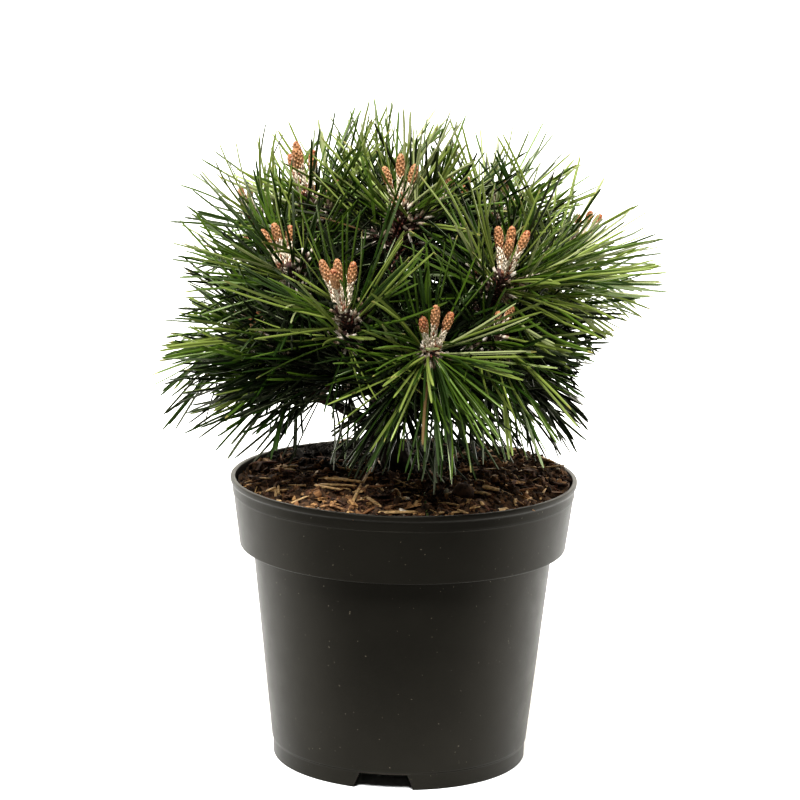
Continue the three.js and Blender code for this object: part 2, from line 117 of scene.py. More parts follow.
# name, height where the bough leaves the trunk, and the shoots: (bearing, distance from the axis, height,
# elevation it points at, number of candles, length of the longest candle)
FRONT_MASSES = [
    ("top", None, [(-103, 20, 279, 78, 3, 26), (47, 23, 275, 64, 2, 16), (115, 25, 277, 80, 0, 0)]),
    ("upper_left", 214, [(174, 51, 281, 66, 4, 26), (136, 52, 269, 60, 2, 16)]),
    ("left", 190, [(-142, 74, 253, 44, 3, 24), (171, 79, 271, 50, 2, 14)]),
    ("lower_left", 160, [(-157, 75, 216, 14, 2, 14), (179, 82, 216, -4, 1, 8), (-158, 62, 196, -26, 0, 0)]),
    ("front_left", 178, [(-112, 81, 238, 38, 4, 27), (-132, 54, 199, -14, 0, 0)]),
    ("front", 166, [(-82, 86, 222, 16, 3, 25), (-92, 52, 197, -8, 0, 0)]),
    ("front_right", 176, [(-55, 74, 225, 22, 2, 17), (-16, 72, 234, 14, 1, 12)]),
    ("right", 196, [(-53, 75, 254, 50, 4, 25), (7, 85, 260, 34, 3, 16), (-3, 80, 243, 2, 0, 0)]),
    ("upper_right", 206, [(30, 50, 273, 66, 2, 16), (42, 70, 265, 52, 2, 15)]),
    ("lower_right", 164, [(30, 46, 210, 2, 0, 0), (-16, 53, 205, -18, 0, 0)]),
]
REAR = {
    "names": ("back_right", "back", "back_left"),
    "first": 62,
    "last": 152,
    "tiers": [(74, 211, 12, 2, 16), (81, 240, 38, 2, 23), (52, 264, 62, 2, 22)],
    "bearing_sway": 8,
    "size_sway": 4,
    "bough_height": 176,
    "bough_step": 12,
}


# ------------------------------------------------------------ small helpers


def linear(code):
    """An sRGB hex colour as linear light."""
    channels = [int(code[i : i + 2], 16) / 255 for i in (0, 2, 4)]
    return tuple(c / 12.92 if c <= 0.04045 else ((c + 0.055) / 1.055) ** 2.4 for c in channels)


def seeded(seed):
    """The same repeatable stream of numbers from 0 to 1 that the solids grow by."""
    whole = 0xFFFFFFFF
    state = seed & whole

    def draw():
        nonlocal state
        state = (state + 0x6D2B79F5) & whole
        t = ((state ^ (state >> 15)) * (1 | state)) & whole
        t ^= (t + (((t ^ (t >> 7)) * (61 | t)) & whole)) & whole
        return ((t ^ (t >> 14)) & whole) / (whole + 1)

    return draw


def unit(v):
    return v / np.linalg.norm(v, axis=-1, keepdims=True)


def polar(bearing, distance, height):
    a = math.radians(bearing)
    return np.array([math.cos(a) * distance, math.sin(a) * distance, height])


def turned(v, axis, angle):
    """v turned about a unit axis."""
    return (
        v * math.cos(angle) + np.cross(axis, v) * math.sin(angle) + axis * (axis @ v) * (1 - math.cos(angle))
    )


class Way:
    """A curve in space, read by the share of its length."""

    def __init__(self, point, divisions=200):
        self.points = np.array([point(i / divisions) for i in range(divisions + 1)], float)
        steps = np.linalg.norm(np.diff(self.points, axis=0), axis=1)
        self.at = np.concatenate([[0], np.cumsum(steps)])
        self.length = self.at[-1]

    def place(self, share):
        where = np.clip(share, 0, 1) * self.length
        return np.stack([np.interp(where, self.at, self.points[:, k]) for k in range(3)], axis=-1)

    def heading(self, share):
        step = 0.005
        return unit(self.place(np.minimum(share + step, 1)) - self.place(np.maximum(share - step, 0)))


def bezier(*corners):
    """A Bezier curve through its control points."""
    n = len(corners) - 1
    weights = [math.comb(n, k) for k in range(n + 1)]
    return Way(lambda t: sum(w * (1 - t) ** (n - k) * t**k * corners[k] for k, w in enumerate(weights)))


def catmull_rom(points):
    """A centripetal curve through points."""
    p = [np.array(q, float) for q in points]
    p = [2 * p[0] - p[1], *p, 2 * p[-1] - p[-2]]

    def point(t):
        i = min(int(t * (len(points) - 1)), len(points) - 2)
        u = t * (len(points) - 1) - i
        a, b, c, d = p[i : i + 4]
        ab, bc, cd = (np.linalg.norm(y - x) ** 0.5 for x, y in ((a, b), (b, c), (c, d)))
        leave = ((b - a) / ab - (c - a) / (ab + bc) + (c - b) / bc) * bc
        arrive = ((c - b) / bc - (d - b) / (bc + cd) + (d - c) / cd) * bc
        square = 3 * (c - b) - 2 * leave - arrive
        cube = 2 * (b - c) + leave + arrive
        return b + leave * u + square * u**2 + cube * u**3

    return Way(point)


# ------------------------------------------------------------ the growth rule

trunk_way = catmull_rom(TRUNK["line"])


def trunk_radius(share, angle):
    steps = len(TRUNK["radii"]) - 1
    radius = np.interp(share * steps, range(steps + 1), TRUNK["radii"])
    foot = np.maximum(0, 1 - share * trunk_way.length / TRUNK["flare_height"]) ** 2
    lobe = 1 + TRUNK["lobe_depth"] * np.cos(TRUNK["lobes"] * angle + TRUNK["lobe_turn"])
    return radius + TRUNK["flare"] * foot * lobe


def shoot_radius(share):
    swell = np.maximum(0, (share - SHOOT["swell_from"]) / (1 - SHOOT["swell_from"]))
    return SHOOT["root"] + (SHOOT["tip"] - SHOOT["root"]) * swell


def twig_radius(share):
    return np.full_like(share, TWIG["radius"], dtype=float)


def rear_masses():
    """The shoots at the back, in columns of three tiers, by a seeded rule."""
    draw = seeded(SEED["rear"])

    def around(size):
        return (draw() * 2 - 1) * size

    step = (REAR["last"] - REAR["first"]) / (len(REAR["names"]) - 1)
    rows = []
    for column, name in enumerate(REAR["names"]):
        shoots = []
        for distance, height, elevation, candles, longest in REAR["tiers"]:
            bearing = REAR["first"] + step * column + around(REAR["bearing_sway"])
            distance += around(REAR["size_sway"])
            height += around(REAR["size_sway"])
            shoots.append((bearing, distance, height, elevation, candles, longest))
        rows.append((name, REAR["bough_height"] + REAR["bough_step"] * column, shoots))
    return rows


def plan_mass(row):
    """A mass of foliage: its bough, its stem and its shoots, each a curve with what stands at its tip."""
    name, bough_height, rows = row
    tips = [polar(bearing, distance, height) for bearing, distance, height, *_ in rows]
    trunk_points = trunk_way.place(np.linspace(0, 1, TRUNK["steps"] ** 2 + 1))
    mass = {"name": name, "bough": None}
    if bough_height is None:
        start = trunk_way.place(1.0)
        heading = trunk_way.heading(1.0)
    else:
        root = trunk_points[np.argmin(abs(trunk_points[:, 2] - bough_height))]
        start = root + (np.mean(tips, axis=0) - root) * BOUGH["reach"] - UP * BOUGH["drop"]
        middle = (root + start) / 2 + UP * BOUGH["bow"] * np.linalg.norm(start - root)
        mass["bough"] = bezier(root, middle, start)
        heading = unit(start - middle)
    start = start + heading * GAP
    fork = start + heading * STEM["length"]
    mass["stem"] = bezier(start, fork + heading * SHOOT["root"])
    mass["shoots"] = []
    for tip, (bearing, _, _, elevation, candles, longest) in zip(tips, rows):
        rise = math.radians(elevation)
        pointing = polar(bearing, math.cos(rise), math.sin(rise))
        reach = np.linalg.norm(tip - fork)
        leaving = fork + heading * SHOOT["leaving"] * reach
        arriving = tip - pointing * SHOOT["arriving"] * reach
        way = bezier(fork, leaving, arriving, tip)
        shoot = {"way": way, "tip": tip, "pointing": pointing, "candles": candles, "longest": longest}
        mass["shoots"].append(shoot)
    return mass


def candle_rule(shoot, draw):
    """The candles at a shoot's tip, as (root, heading, length)."""
    upright = unit(UP * CANDLE["upwards"] + shoot["pointing"] * CANDLE["onwards"])
    count = shoot["candles"]
    middle = 0 if count == 2 else 1
    rows = []
    for i in range(count):
        turn = math.radians(360 / max(1, count - middle) * i + CANDLE["first_turn"])
        side = np.array([math.cos(turn), math.sin(turn), 0])
        apart = 0 if i < middle else 1 / (2 - middle)
        heading = unit(upright + side * apart * math.tan(math.radians(CANDLE["splay"])))
        length = shoot["longest"] * (1 if i == 0 else CANDLE["shortest"] + CANDLE["spread"] * draw())
        root = shoot["tip"] + side * apart * CANDLE["offset"] - heading * CANDLE["sunk"]
        rows.append((root, heading, length))
    return rows


def grow():
    masses = [plan_mass(row) for row in [*FRONT_MASSES, *rear_masses()]]
    for index, mass in enumerate(masses):
        draw = seeded(SEED["candles"] + index)
        for i, shoot in enumerate(mass["shoots"]):
            shoot["candle_rows"] = candle_rule(shoot, draw)
            shoot["which"] = mass["name"], i
    return masses


MASSES = grow()
SHOOTS = [shoot for mass in MASSES for shoot in mass["shoots"]]
FOLIAGE = ["foliage_" + mass["name"] for mass in MASSES]


def segment_gap(p0, p1, q0, q1):
    """Least distances between segments p (n, 3) and q (m, 3), as (n, m)."""
    u = (p1 - p0)[:, None]
    v = (q1 - q0)[None]
    w = p0[:, None] - q0[None]
    a, b, c = (u * u).sum(2), (u * v).sum(2), (v * v).sum(2)
    d, e = (u * w).sum(2), (v * w).sum(2)
    across = np.maximum(a * c - b * b, TINY)
    s = np.clip((b * e - c * d) / across, 0, 1)
    t = np.clip((b * s + e) / np.maximum(c, TINY), 0, 1)
    s = np.clip((b * t - d) / a, 0, 1)
    return np.linalg.norm(w + u * s[..., None] - v * t[..., None], axis=2)


# how many short pieces a limb counts as, and how far from a candle's ends its own piece starts and stops
OBSTACLE = {"trunk": 18, "limb": 6, "above_root": 3, "below_tip": 1.5}
NOBODY = -1  # the owner of a piece that needles of every shoot keep clear of


def obstacles():
    """Every limb, shoot and candle as short pieces: their starts, ends, radii and shoots."""
    rows = []

    def chain(way, radius, count, owner):
        shares = np.linspace(0, 1, count + 1)
        points = way.place(shares)
        for i in range(count):
            rows.append((points[i], points[i + 1], float(radius(shares[i])), owner))

    chain(trunk_way, lambda s: trunk_radius(s, 0), OBSTACLE["trunk"], NOBODY)
    for mass in MASSES:
        if mass["bough"]:
            chain(mass["bough"], lambda s: BOUGH["start"], OBSTACLE["limb"], NOBODY)
    for owner, shoot in enumerate(SHOOTS):
        chain(shoot["way"], shoot_radius, OBSTACLE["limb"], owner)
        for root, heading, size in shoot["candle_rows"]:
            start = root + heading * OBSTACLE["above_root"]
            end = root + heading * (size - OBSTACLE["below_tip"])
            rows.append((start, end, CANDLE["radius"], NOBODY))
    starts, ends, radii, owners = zip(*rows)
    return np.array(starts), np.array(ends), np.array(radii), np.array(owners)


# side twigs: how many on a shoot and between which shares of it, how far they lean out and sway, how strongly
# they lift and how unevenly long they are, their taper, and the length and share of their needles
TWIG = {
    "count": 3,
    "from": 0.3,
    "to": 0.72,
    "lean": 52,
    "sway": 14,
    "length": 17,
    "uneven": (0.7, 1.2),
    "lift": 0.25,
    "rooted": 0.4,
    "radius": 1.5,
    "taper": (1.15, 0.25),
    "clothed": 12,
    "needles": 0.8,
}
TUFT_LIFT = 0.15  # how much a tuft's twig arches
# drooping and reaching twigs near a shoot's tip: mass, shoot, where they leave it, bearing, rise, length,
# needle pairs, share of the usual needle length, how far the needles lean out
TUFTS = [
    ("front", 0, 0.94, -88, -68, 6, 46, 1.12, 66),
    ("front", 1, 0.9, -110, -50, 8, 26, 1.0, 80),
    ("front_right", 0, 0.9, -28, -52, 12, 38, 1.16, 52),
    ("lower_right", 1, 0.92, -20, -48, 12, 26, 1.1, 60),
    ("lower_right", 0, 0.92, 10, -50, 10, 20, 1.0, 70),
    ("lower_right", 0, 0.6, 180, -38, 10, 34, 0.9, 75),
    ("front", 1, 0.7, -160, 0, 10, 26, 0.75, 80),
    ("front_left", 1, 0.9, -120, -55, 8, 14, 0.95, 70),
    ("front_left", 1, 0.75, -50, -10, 8, 24, 0.75, 80),
    ("right", 0, 0.88, -8, 3, 20, 28, 1.22, 34),
    ("right", 0, 0.8, -20, -32, 8, 14, 1.14, 50),
    ("left", 1, 0.92, 168, 56, 10, 18, 1.16, 40),
    ("lower_left", 1, 0.9, -178, -18, 8, 12, 1.1, 50),
    ("top", 2, 0.95, 120, 70, 8, 14, 1.1, 50),
]


def grow_twigs():
    """Finer side twigs along each shoot, where there is room for them, and the placed tufts."""
    rng = RNG(41)
    starts, ends, radii, owners = obstacles()
    twigs = []
    for owner, shoot in enumerate(SHOOTS):
        for i in range(TWIG["count"]):
            along = TWIG["from"] + (TWIG["to"] - TWIG["from"]) * (i + 0.5) / TWIG["count"]
            axis = shoot["way"].heading(along)
            side = turned(unit(np.cross(axis, UP)), axis, (i + owner) * GOLDEN_ANGLE)
            lean = math.radians(TWIG["lean"] + rng.uniform(-1, 1) * TWIG["sway"])
            heading = unit(axis * math.cos(lean) + side * math.sin(lean))
            root = shoot["way"].place(along)
            tip = root + unit(heading + UP * TWIG["lift"]) * TWIG["length"] * rng.uniform(*TWIG["uneven"])
            free = root + (tip - root) * TWIG["rooted"]
            clear = segment_gap(free[None], tip[None], starts, ends)[0] - radii
            clear[owners == owner] = FAR
            if clear.min() > 2 * TWIG["radius"]:
                way = bezier(root, root + heading * TWIG["length"] / 2, tip)
                twigs.append({"way": way, "owner": owner, "pairs": None, "needles": TWIG["needles"]})
    places = {shoot["which"]: owner for owner, shoot in enumerate(SHOOTS)}
    for name, i, along, bearing, rise, size, pairs, needles, lean in TUFTS:
        owner = places[name, i]
        root = SHOOTS[owner]["way"].place(along)
        rise = math.radians(rise)
        heading = polar(bearing, math.cos(rise), math.sin(rise))
        way = bezier(root, root + (heading + UP * TUFT_LIFT) * size / 2, root + heading * size)
        twigs.append({"way": way, "owner": owner, "pairs": pairs, "needles": needles, "lean": lean})
    return twigs


TWIGS = grow_twigs()


# ------------------------------------------------------------ settings


def colour(name, code, text):
    return FloatVectorProperty(
        name=name, description=text, subtype="COLOR", size=3, min=0, max=1, default=linear(code)
    )


def length(name, millimetres, text):
    return FloatProperty(name=name, description=text, default=millimetres * MM, min=0, unit="LENGTH")


def number(name, value, text):
    return IntProperty(name=name, description=text, default=value, min=1)


class PinePotSettings(bpy.types.PropertyGroup):
    rim_radius: length("Rim radius", 85.5, "Radius over the rolled rim")
    height: length("Height", 141.6, "From the ground to the top of the rim")
    wall: length("Wall", 1.3, "Thickness of the moulded wall")
    plastic: colour("Plastic", "161512", "Carbon-black polypropylene")


class PineCompostSettings(bpy.types.PropertyGroup):
    crumbs: number("Crumbs", 4000, "Loose lumps of peat on top")
    fibres: number("Fibres", 560, "Loose straws, splinters and rootlets")
    dark_peat: colour("Dark peat", "180f09", "Moist peat in the hollows")
    light_peat: colour("Light peat", "6c4e32", "Dry crumbs on top")
    straw: colour("Straw", "d0ab76", "Broken straw and bark fibre")


class PineWoodSettings(bpy.types.PropertyGroup):
    relief: length("Bark relief", 0.9, "Height of the bark's scales")
    bark: colour("Bark", "281b12", "Old bark on trunk and boughs")
    shoot_bark: colour("Shoot bark", "361a13", "Red-brown bark of the young shoots")


class PineNeedleSettings(bpy.types.PropertyGroup):
    length: length("Needle length", 54, "From sheath to point")
    width: length("Needle width", 1.4, "Across the flat side")
    per_shoot: number("Pairs on a shoot", 60, "Needle pairs in each spiral")
    per_twig: number("Pairs on a side twig", 12, "Needle pairs on each side twig")
    # the greens are partly painted light and shade: the inner and deep ones inside and under the crown, the
    # light and bright ones on its skin
    inner: colour("Inner green", "061002", "Old needles deep in the crown")
    deep: colour("Deep green", "1d3307", "Old needles in the shade")
    leaf: colour("Green", "415717", "Most needles")
    light: colour("Light green", "6f7c3b", "Needles of the sunny side")
    bright: colour("Bright green", "90976a", "The outermost needles")
    pale: colour("Tip green", "7f7b45", "Yellowish points")


class PineCandleSettings(bpy.types.PropertyGroup):
    scales: number("Scales", 110, "Scales on each candle")
    head: colour("Head", "a5754f", "Orange-brown scales of the head")
    resin: colour("Resin", "e2d3be", "White resinous scales below it")


class PineStageSettings(bpy.types.PropertyGroup):
    floor: colour("Floor", "f4f5f5", "Matt white studio floor")
    lens: FloatProperty(name="Lens", description="Focal length in mm on a 36 mm sensor", default=137.4, min=1)


class PineSettings(bpy.types.PropertyGroup):
    pot: PointerProperty(type=PinePotSettings)
    compost: PointerProperty(type=PineCompostSettings)
    wood: PointerProperty(type=PineWoodSettings)
    needles: PointerProperty(type=PineNeedleSettings)
    candles: PointerProperty(type=PineCandleSettings)
    stage: PointerProperty(type=PineStageSettings)


# ------------------------------------------------------------ meshes


def shade_smooth(mesh):
    for polygon in mesh.polygons:
        polygon.use_smooth = True


def mesh_of(bm, name):
    """The smooth mesh of a bmesh."""
    mesh = bpy.data.meshes.new(name)
    bm.to_mesh(mesh)
    bm.free()
    shade_smooth(mesh)
    return mesh


def add_grid(bm, columns, rows):
    """Adds a grid, and gives each of its corners with its column and its row."""
    before = set(bm.verts)
    bmesh.ops.create_grid(bm, x_segments=columns, y_segments=rows, size=1)
    made = [v for v in bm.verts if v not in before]
    return [(v, round((v.co.x + 1) / 2 * columns), round((v.co.y + 1) / 2 * rows)) for v in made]


FLAT = 1e-3  # a face lies on a template's flat side when its corners are nearer to it than this


class Template:
    """A round or D-shaped bar of unit length, wrapped from a grid: the angle and share of each of its
    corners, and its faces, ready to be copied along many headings."""

    def __init__(self, sides, stations, half=False):
        bm = bmesh.new()
        span = math.pi if half else math.tau
        for vert, i, j in add_grid(bm, sides, len(stations) - 1):
            turn = (i % sides) / (sides - 1) if half else i / sides
            vert.co = (math.cos(turn * span), math.sin(turn * span), float(j))
        bmesh.ops.remove_doubles(bm, verts=bm.verts, dist=WELD)
        bmesh.ops.holes_fill(bm, edges=[e for e in bm.edges if e.is_boundary], sides=0)
        bmesh.ops.recalc_face_normals(bm, faces=bm.faces)
        bm.verts.index_update()
        self.corner = np.array([v.co.xy for v in bm.verts])
        self.station = np.array([round(v.co.z) for v in bm.verts])
        self.share = np.array(stations, float)[self.station]
        self.loops = np.array([v.index for f in bm.faces for v in f.verts])
        self.sizes = np.array([len(f.verts) for f in bm.faces])
        self.face_share = np.array([np.mean([self.share[v.index] for v in f.verts]) for f in bm.faces])
        self.triangles = int((self.sizes - 2).sum())
        self.flat = np.array([max(abs(v.co.y) for v in f.verts) < FLAT for f in bm.faces]) & half
        bm.free()

    def along(self, root, heading, outward, size, bend, width, depth, profile):
        """Corners of one copy for each root, in the units of root: bent by bend over its length, with its
        flat side's outward direction, and its width and depth scaled along it by profile."""
        s = self.share[None, :, None]
        centre = root[:, None] + size[:, None, None] * (s * heading[:, None] + s**2 * bend[:, None])
        tangent = unit(heading[:, None] + 2 * s * bend[:, None])
        out = outward[:, None] - np.sum(outward[:, None] * tangent, axis=2, keepdims=True) * tangent
        out = unit(out)
        across = np.cross(out, tangent)
        scale = np.interp(self.share, *profile)[None, :, None]
        x = self.corner[None, :, :1] * width[:, None, None] / 2
        y = self.corner[None, :, 1:] * depth[:, None, None]
        return centre + scale * (x * across + y * out)


def cone_template(segments):
    """A small flat scale: a closed cone along +Y, wide in X and thin in Z, with its root at the origin."""
    bm = bmesh.new()
    bmesh.ops.create_cone(bm, cap_ends=True, segments=segments, radius1=1, radius2=0, depth=1)
    bmesh.ops.rotate(bm, verts=bm.verts, cent=(0, 0, 0), matrix=Matrix.Rotation(-math.pi / 2, 3, "X"))
    bmesh.ops.translate(bm, verts=bm.verts, vec=(0, 0.5, 0))
    return solid_template(bm)


def lump_template(subdivisions, seed, roughness):
    """A rough lump about a millimetre across."""
    bm = bmesh.new()
    bmesh.ops.create_icosphere(bm, subdivisions=subdivisions, radius=0.5)
    rng = RNG(seed)
    for vert in bm.verts:
        vert.co *= 1 + rng.uniform(-roughness, roughness)
    return solid_template(bm)


def box_template(seed, roughness):
    """A chip of bark: a millimetre cube with every edge split once, and its corners pulled about."""
    bm = bmesh.new()
    bmesh.ops.create_cube(bm, size=1)
    bmesh.ops.subdivide_edges(bm, edges=bm.edges, cuts=1, use_grid_fill=True)
    rng = RNG(seed)
    for vert in bm.verts:
        vert.co += Vector(rng.uniform(-roughness, roughness, 3))
    return solid_template(bm)


def solid_template(bm):
    """A solid's corners, its faces' corners one after another, and how many each face has."""
    bmesh.ops.recalc_face_normals(bm, faces=bm.faces)
    bm.verts.index_update()
    made = {
        "co": np.array([v.co for v in bm.verts]),
        "loops": np.array([v.index for f in bm.faces for v in f.verts]),
        "sizes": np.array([len(f.verts) for f in bm.faces]),
    }
    bm.free()
    return made


def frames(heading, outward, scale):
    """3 by 3 matrices that stand a template's Y along heading and its Z outward, and scale each axis."""
    y = unit(heading)
    z = unit(outward - np.sum(outward * y, axis=1, keepdims=True) * y)
    x = np.cross(y, z)
    return np.stack([x, y, z], axis=2) * scale[:, None, :]


class Heap:
    """Collects many small things, in millimetres, and makes one mesh of them."""

    def __init__(self):
        self.co, self.loops, self.sizes, self.slots, self.count = [], [], [], [], 0

    def add(self, corners, loops, sizes, slots):
        """corners is (copies, corners, 3); slots is one number a copy, or one a face of each copy."""
        n, v, _ = corners.shape
        if n == 0:
            return
        start = self.count + np.arange(n)[:, None] * v
        self.co.append(corners.reshape(-1, 3))
        self.loops.append((loops[None] + start).ravel())
        self.sizes.append(np.tile(sizes, n))
        slots = np.asarray(slots)
        self.slots.append(slots.ravel() if slots.ndim == 2 else np.repeat(slots, len(sizes)))
        self.count += n * v

    def add_copies(self, template, places, turns, slots):
        """Adds a solid template at each place, turned and scaled by 3 by 3 matrices."""
        corners = np.einsum("nij,vj->nvi", turns, template["co"]) + places[:, None]
        self.add(corners, template["loops"], template["sizes"], slots)

    def triangles(self):
        return sum(int((s - 2).sum()) for s in self.sizes)

    def mesh(self, name, materials, smooth=True):
        mesh = bpy.data.meshes.new(name)
        co = np.concatenate(self.co) * MM
        loops = np.concatenate(self.loops)
        sizes = np.concatenate(self.sizes)
        mesh.vertices.add(len(co))
        mesh.vertices.foreach_set("co", co.astype(np.float32).ravel())
        mesh.loops.add(len(loops))
        mesh.loops.foreach_set("vertex_index", loops.astype(np.int32))
        mesh.polygons.add(len(sizes))
        starts = np.concatenate([[0], np.cumsum(sizes)[:-1]])
        mesh.polygons.foreach_set("loop_start", starts.astype(np.int32))
        mesh.polygons.foreach_set("material_index", np.concatenate(self.slots).astype(np.int32))
        mesh.polygons.foreach_set("use_smooth", np.full(len(sizes), smooth))
        mesh.update(calc_edges=True)
        for material in materials:
            mesh.materials.append(material)
        return mesh


def add_piece(name, mesh, slot, nodes):
    """A finished piece of the plant, which rides on its one body and stands for CAD nodes."""
    piece = bpy.data.objects.new(name, mesh)
    bpy.context.scene.collection.objects.link(piece)
    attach(piece, "root")
    if nodes:
        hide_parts(*nodes)


ASIDE = UP + [0.3, 0.1, 0]  # no limb runs along it


def bar(bm, way, radius, sides, steps, relief):
    """A limb: a grid wrapped round a curve, with radius(share, angle) in millimetres and a bark relief."""
    shares = np.linspace(0, 1, steps + 1)
    centres = way.place(shares)
    tangents = way.heading(shares)
    outs = [unit(np.cross(tangents[0], ASIDE))]
    for tangent in tangents[1:]:
        out = outs[-1] - tangent * (outs[-1] @ tangent)
        outs.append(unit(out))
    grid = add_grid(bm, sides, steps)
    for vert, i, j in grid:
        angle = math.tau * (i % sides) / sides
        out = outs[j] * math.cos(angle) + np.cross(tangents[j], outs[j]) * math.sin(angle)
        spot = centres[j] + out * radius(shares[j], angle)
        vert.co = Vector(spot + out * relief(spot)) * MM
    bmesh.ops.remove_doubles(bm, verts=[vert for vert, *_ in grid], dist=WELD)
    edges = [e for v, *_ in grid if v.is_valid for e in v.link_edges if e.is_boundary]
    bmesh.ops.holes_fill(bm, edges=list(set(edges)), sides=0)


# ------------------------------------------------------------ materials


def add_node(tree, kind, links=None, stops=(), **settings):
    """Adds a shader node, sets its properties and its sockets' values, links its inputs, and lays the
    (position, linear colour) stops on its ramp."""
    node = tree.nodes.new(kind)
    for name, value in settings.items():
        if hasattr(node, name):
            setattr(node, name, value)
        else:
            node.inputs[name.replace("_", " ")].default_value = value
    for name, source in (links or {}).items():
        tree.links.new(source, node.inputs[name])
    for i, (position, rgb) in enumerate(stops):
        elements = node.color_ramp.elements
        element = elements[i] if i < 2 else elements.new(position)
        element.position = position
        element.color = (*rgb, 1)
    return node


def new_material(name, **sockets):
    """A material with its shader's own sockets set."""
    material = bpy.data.materials.new(name)
    material.use_nodes = True
    tree = material.node_tree
    shader = tree.nodes["Principled BSDF"]
    for socket, value in sockets.items():
        shader.inputs[socket.replace("_", " ")].default_value = value
    return material, tree, shader


def shaded(rgb, share):
    """A linear colour made darker or lighter, at most white."""
    return tuple(min(1, c * share) for c in rgb)


def grained(name, stops, grain_mm, roughness, detail=4, stretch=(1, 1, 1), relief=None, relief_mm=0.4):
    """A natural surface whose colour runs through the stops at a real grain. relief is the grain and the
    strength of its bump, which stands relief_mm high."""
    material, tree, shader = new_material(name, Roughness=roughness)
    where = add_node(tree, "ShaderNodeTexCoord").outputs["Object"]
    placed = add_node(tree, "ShaderNodeMapping", {"Vector": where}, Scale=stretch).outputs["Vector"]
    grain = add_node(tree, "ShaderNodeTexNoise", {"Vector": placed}, Scale=1 / (grain_mm * MM), Detail=detail)
    tone = add_node(tree, "ShaderNodeValToRGB", {"Fac": grain.outputs["Fac"]}, stops=stops)
    tree.links.new(tone.outputs["Color"], shader.inputs["Base Color"])
    if relief:
        pores = add_node(tree, "ShaderNodeTexNoise", {"Vector": placed}, Scale=1 / (relief[0] * MM), Detail=5)
        height = {"Height": pores.outputs["Fac"]}
        lift = add_node(tree, "ShaderNodeBump", height, Strength=relief[1], Distance=relief_mm * MM)
        tree.links.new(lift.outputs["Normal"], shader.inputs["Normal"])
    return material


# grains in mm of the moulded plastic: the haze and the dust on it, its satin patches and its orange peel
PLASTIC_GRAIN = {"haze": 30, "dust": 1.6, "satin": 9, "peel": 0.55}
PEEL_HEIGHT = 0.12


def polypropylene(rgb):
    """Injection-moulded polypropylene, filled with carbon black: a satin, finely orange-peeled surface with
    pale dust in its pores, which mirrors little from the front and much at its edges."""
    material, tree, shader = new_material(
        "moulded_polypropylene", IOR=1.49, Specular_IOR_Level=0.16, Specular_Tint=(1.0, 0.93, 0.78, 1)
    )
    where = {"Vector": add_node(tree, "ShaderNodeTexCoord").outputs["Object"]}
    scale = {kind: 1 / (size * MM) for kind, size in PLASTIC_GRAIN.items()}
    haze = add_node(tree, "ShaderNodeTexNoise", where, Scale=scale["haze"], Detail=3).outputs["Fac"]
    dust = add_node(tree, "ShaderNodeTexNoise", where, Scale=scale["dust"], Detail=1).outputs["Fac"]
    stops = ((0.3, shaded(rgb, 0.85)), (0.75, shaded(rgb, 1.2)))
    body = add_node(tree, "ShaderNodeValToRGB", {"Fac": haze}, stops=stops)
    stops = ((0.765, (0, 0, 0)), (0.79, (0.07, 0.06, 0.045)))
    specks = add_node(tree, "ShaderNodeValToRGB", {"Fac": dust}, stops=stops)
    both = {0: body.outputs["Color"], 1: specks.outputs["Color"]}
    mixed = add_node(tree, "ShaderNodeVectorMath", both, operation="ADD")
    tree.links.new(mixed.outputs["Vector"], shader.inputs["Base Color"])
    satin = add_node(tree, "ShaderNodeTexNoise", where, Scale=scale["satin"], Detail=3).outputs["Fac"]
    rough = add_node(tree, "ShaderNodeMapRange", {"Value": satin}, To_Min=0.36, To_Max=0.48)
    tree.links.new(rough.outputs["Result"], shader.inputs["Roughness"])
    peel = add_node(tree, "ShaderNodeTexNoise", where, Scale=scale["peel"], Detail=2).outputs["Fac"]
    lift = add_node(tree, "ShaderNodeBump", {"Height": peel}, Strength=0.25, Distance=PEEL_HEIGHT * MM)
    tree.links.new(lift.outputs["Normal"], shader.inputs["Normal"])
    return material


def peat(name, dark, light):
    """Moist milled peat: nearly black in its hollows, brown where fibres have dried, with no gloss."""
    return grained(name, ((0.35, dark), (0.68, light)), 2.2, 0.95, 8, relief=(0.7, 0.8), relief_mm=0.5)


def bark(name, rgb, grain_mm, roughness=0.88):
    """Pine bark: dry corky scales, dark in the cracks and greyer on their faces."""
    pale = tuple(min(1, c * 1.9 + 0.02) for c in rgb)
    stops = ((0.3, shaded(rgb, 0.3)), (0.52, rgb), (0.75, pale))
    return grained(name, stops, grain_mm, roughness, 6, (1, 1, 0.45), (grain_mm / 3, 0.7))


def flecked(name, low, high, grain_mm, roughness):
    """A dry plant surface that varies between two colours at a real grain: straw, scales or sheaths."""
    return grained(name, ((0.38, low), (0.62, high)), grain_mm, roughness)


def waxy(name, rgb, roughness):
    """A needle's skin: smooth, faintly yellow wax over green, one base colour, dealt out by spray and pair,
    and by the crown's painted light and shade.
    """
    wax = (0.88, 1.0, 0.58, 1)
    return new_material(
        name, Base_Color=(*rgb, 1), Roughness=roughness, IOR=1.5, Specular_IOR_Level=0.5, Specular_Tint=wax
    )[0]


# ------------------------------------------------------------ pot

FOOT_HEIGHT = 8
FOOT_RADIUS = 62.8
FOOT_WIDTH = 2.2
FOOT_DRAFT = 0.25  # how much wider the foot ring is at its top
FOOT_STEP = 0.8  # height of the step from the foot ring out to the body
FLOOR = 1.6
BODY_RADII = (63.6, 74.2)  # at the foot and under the collar
COLLAR_RADII = (80.6, 84.5)  # at its lower edge and under the lip
COLLAR_BOTTOM = 107.4
LIP = {"height": 2.6, "below": 0.6, "above": 0.3}  # the rolled rim, and where it turns out
BAND = {"bottom": (0.5, 5.4), "top": (0.05, 4.9)}  # a step under the lip: how far in, how far below it
NOTCHES = {"count": 3, "bearing": -96.7, "top": 23, "bottom": 30, "depth": 13, "below": 1}
DRAINS = {"count": 6, "radius": 4.5, "ring": 36, "depth": 8, "segments": 24}
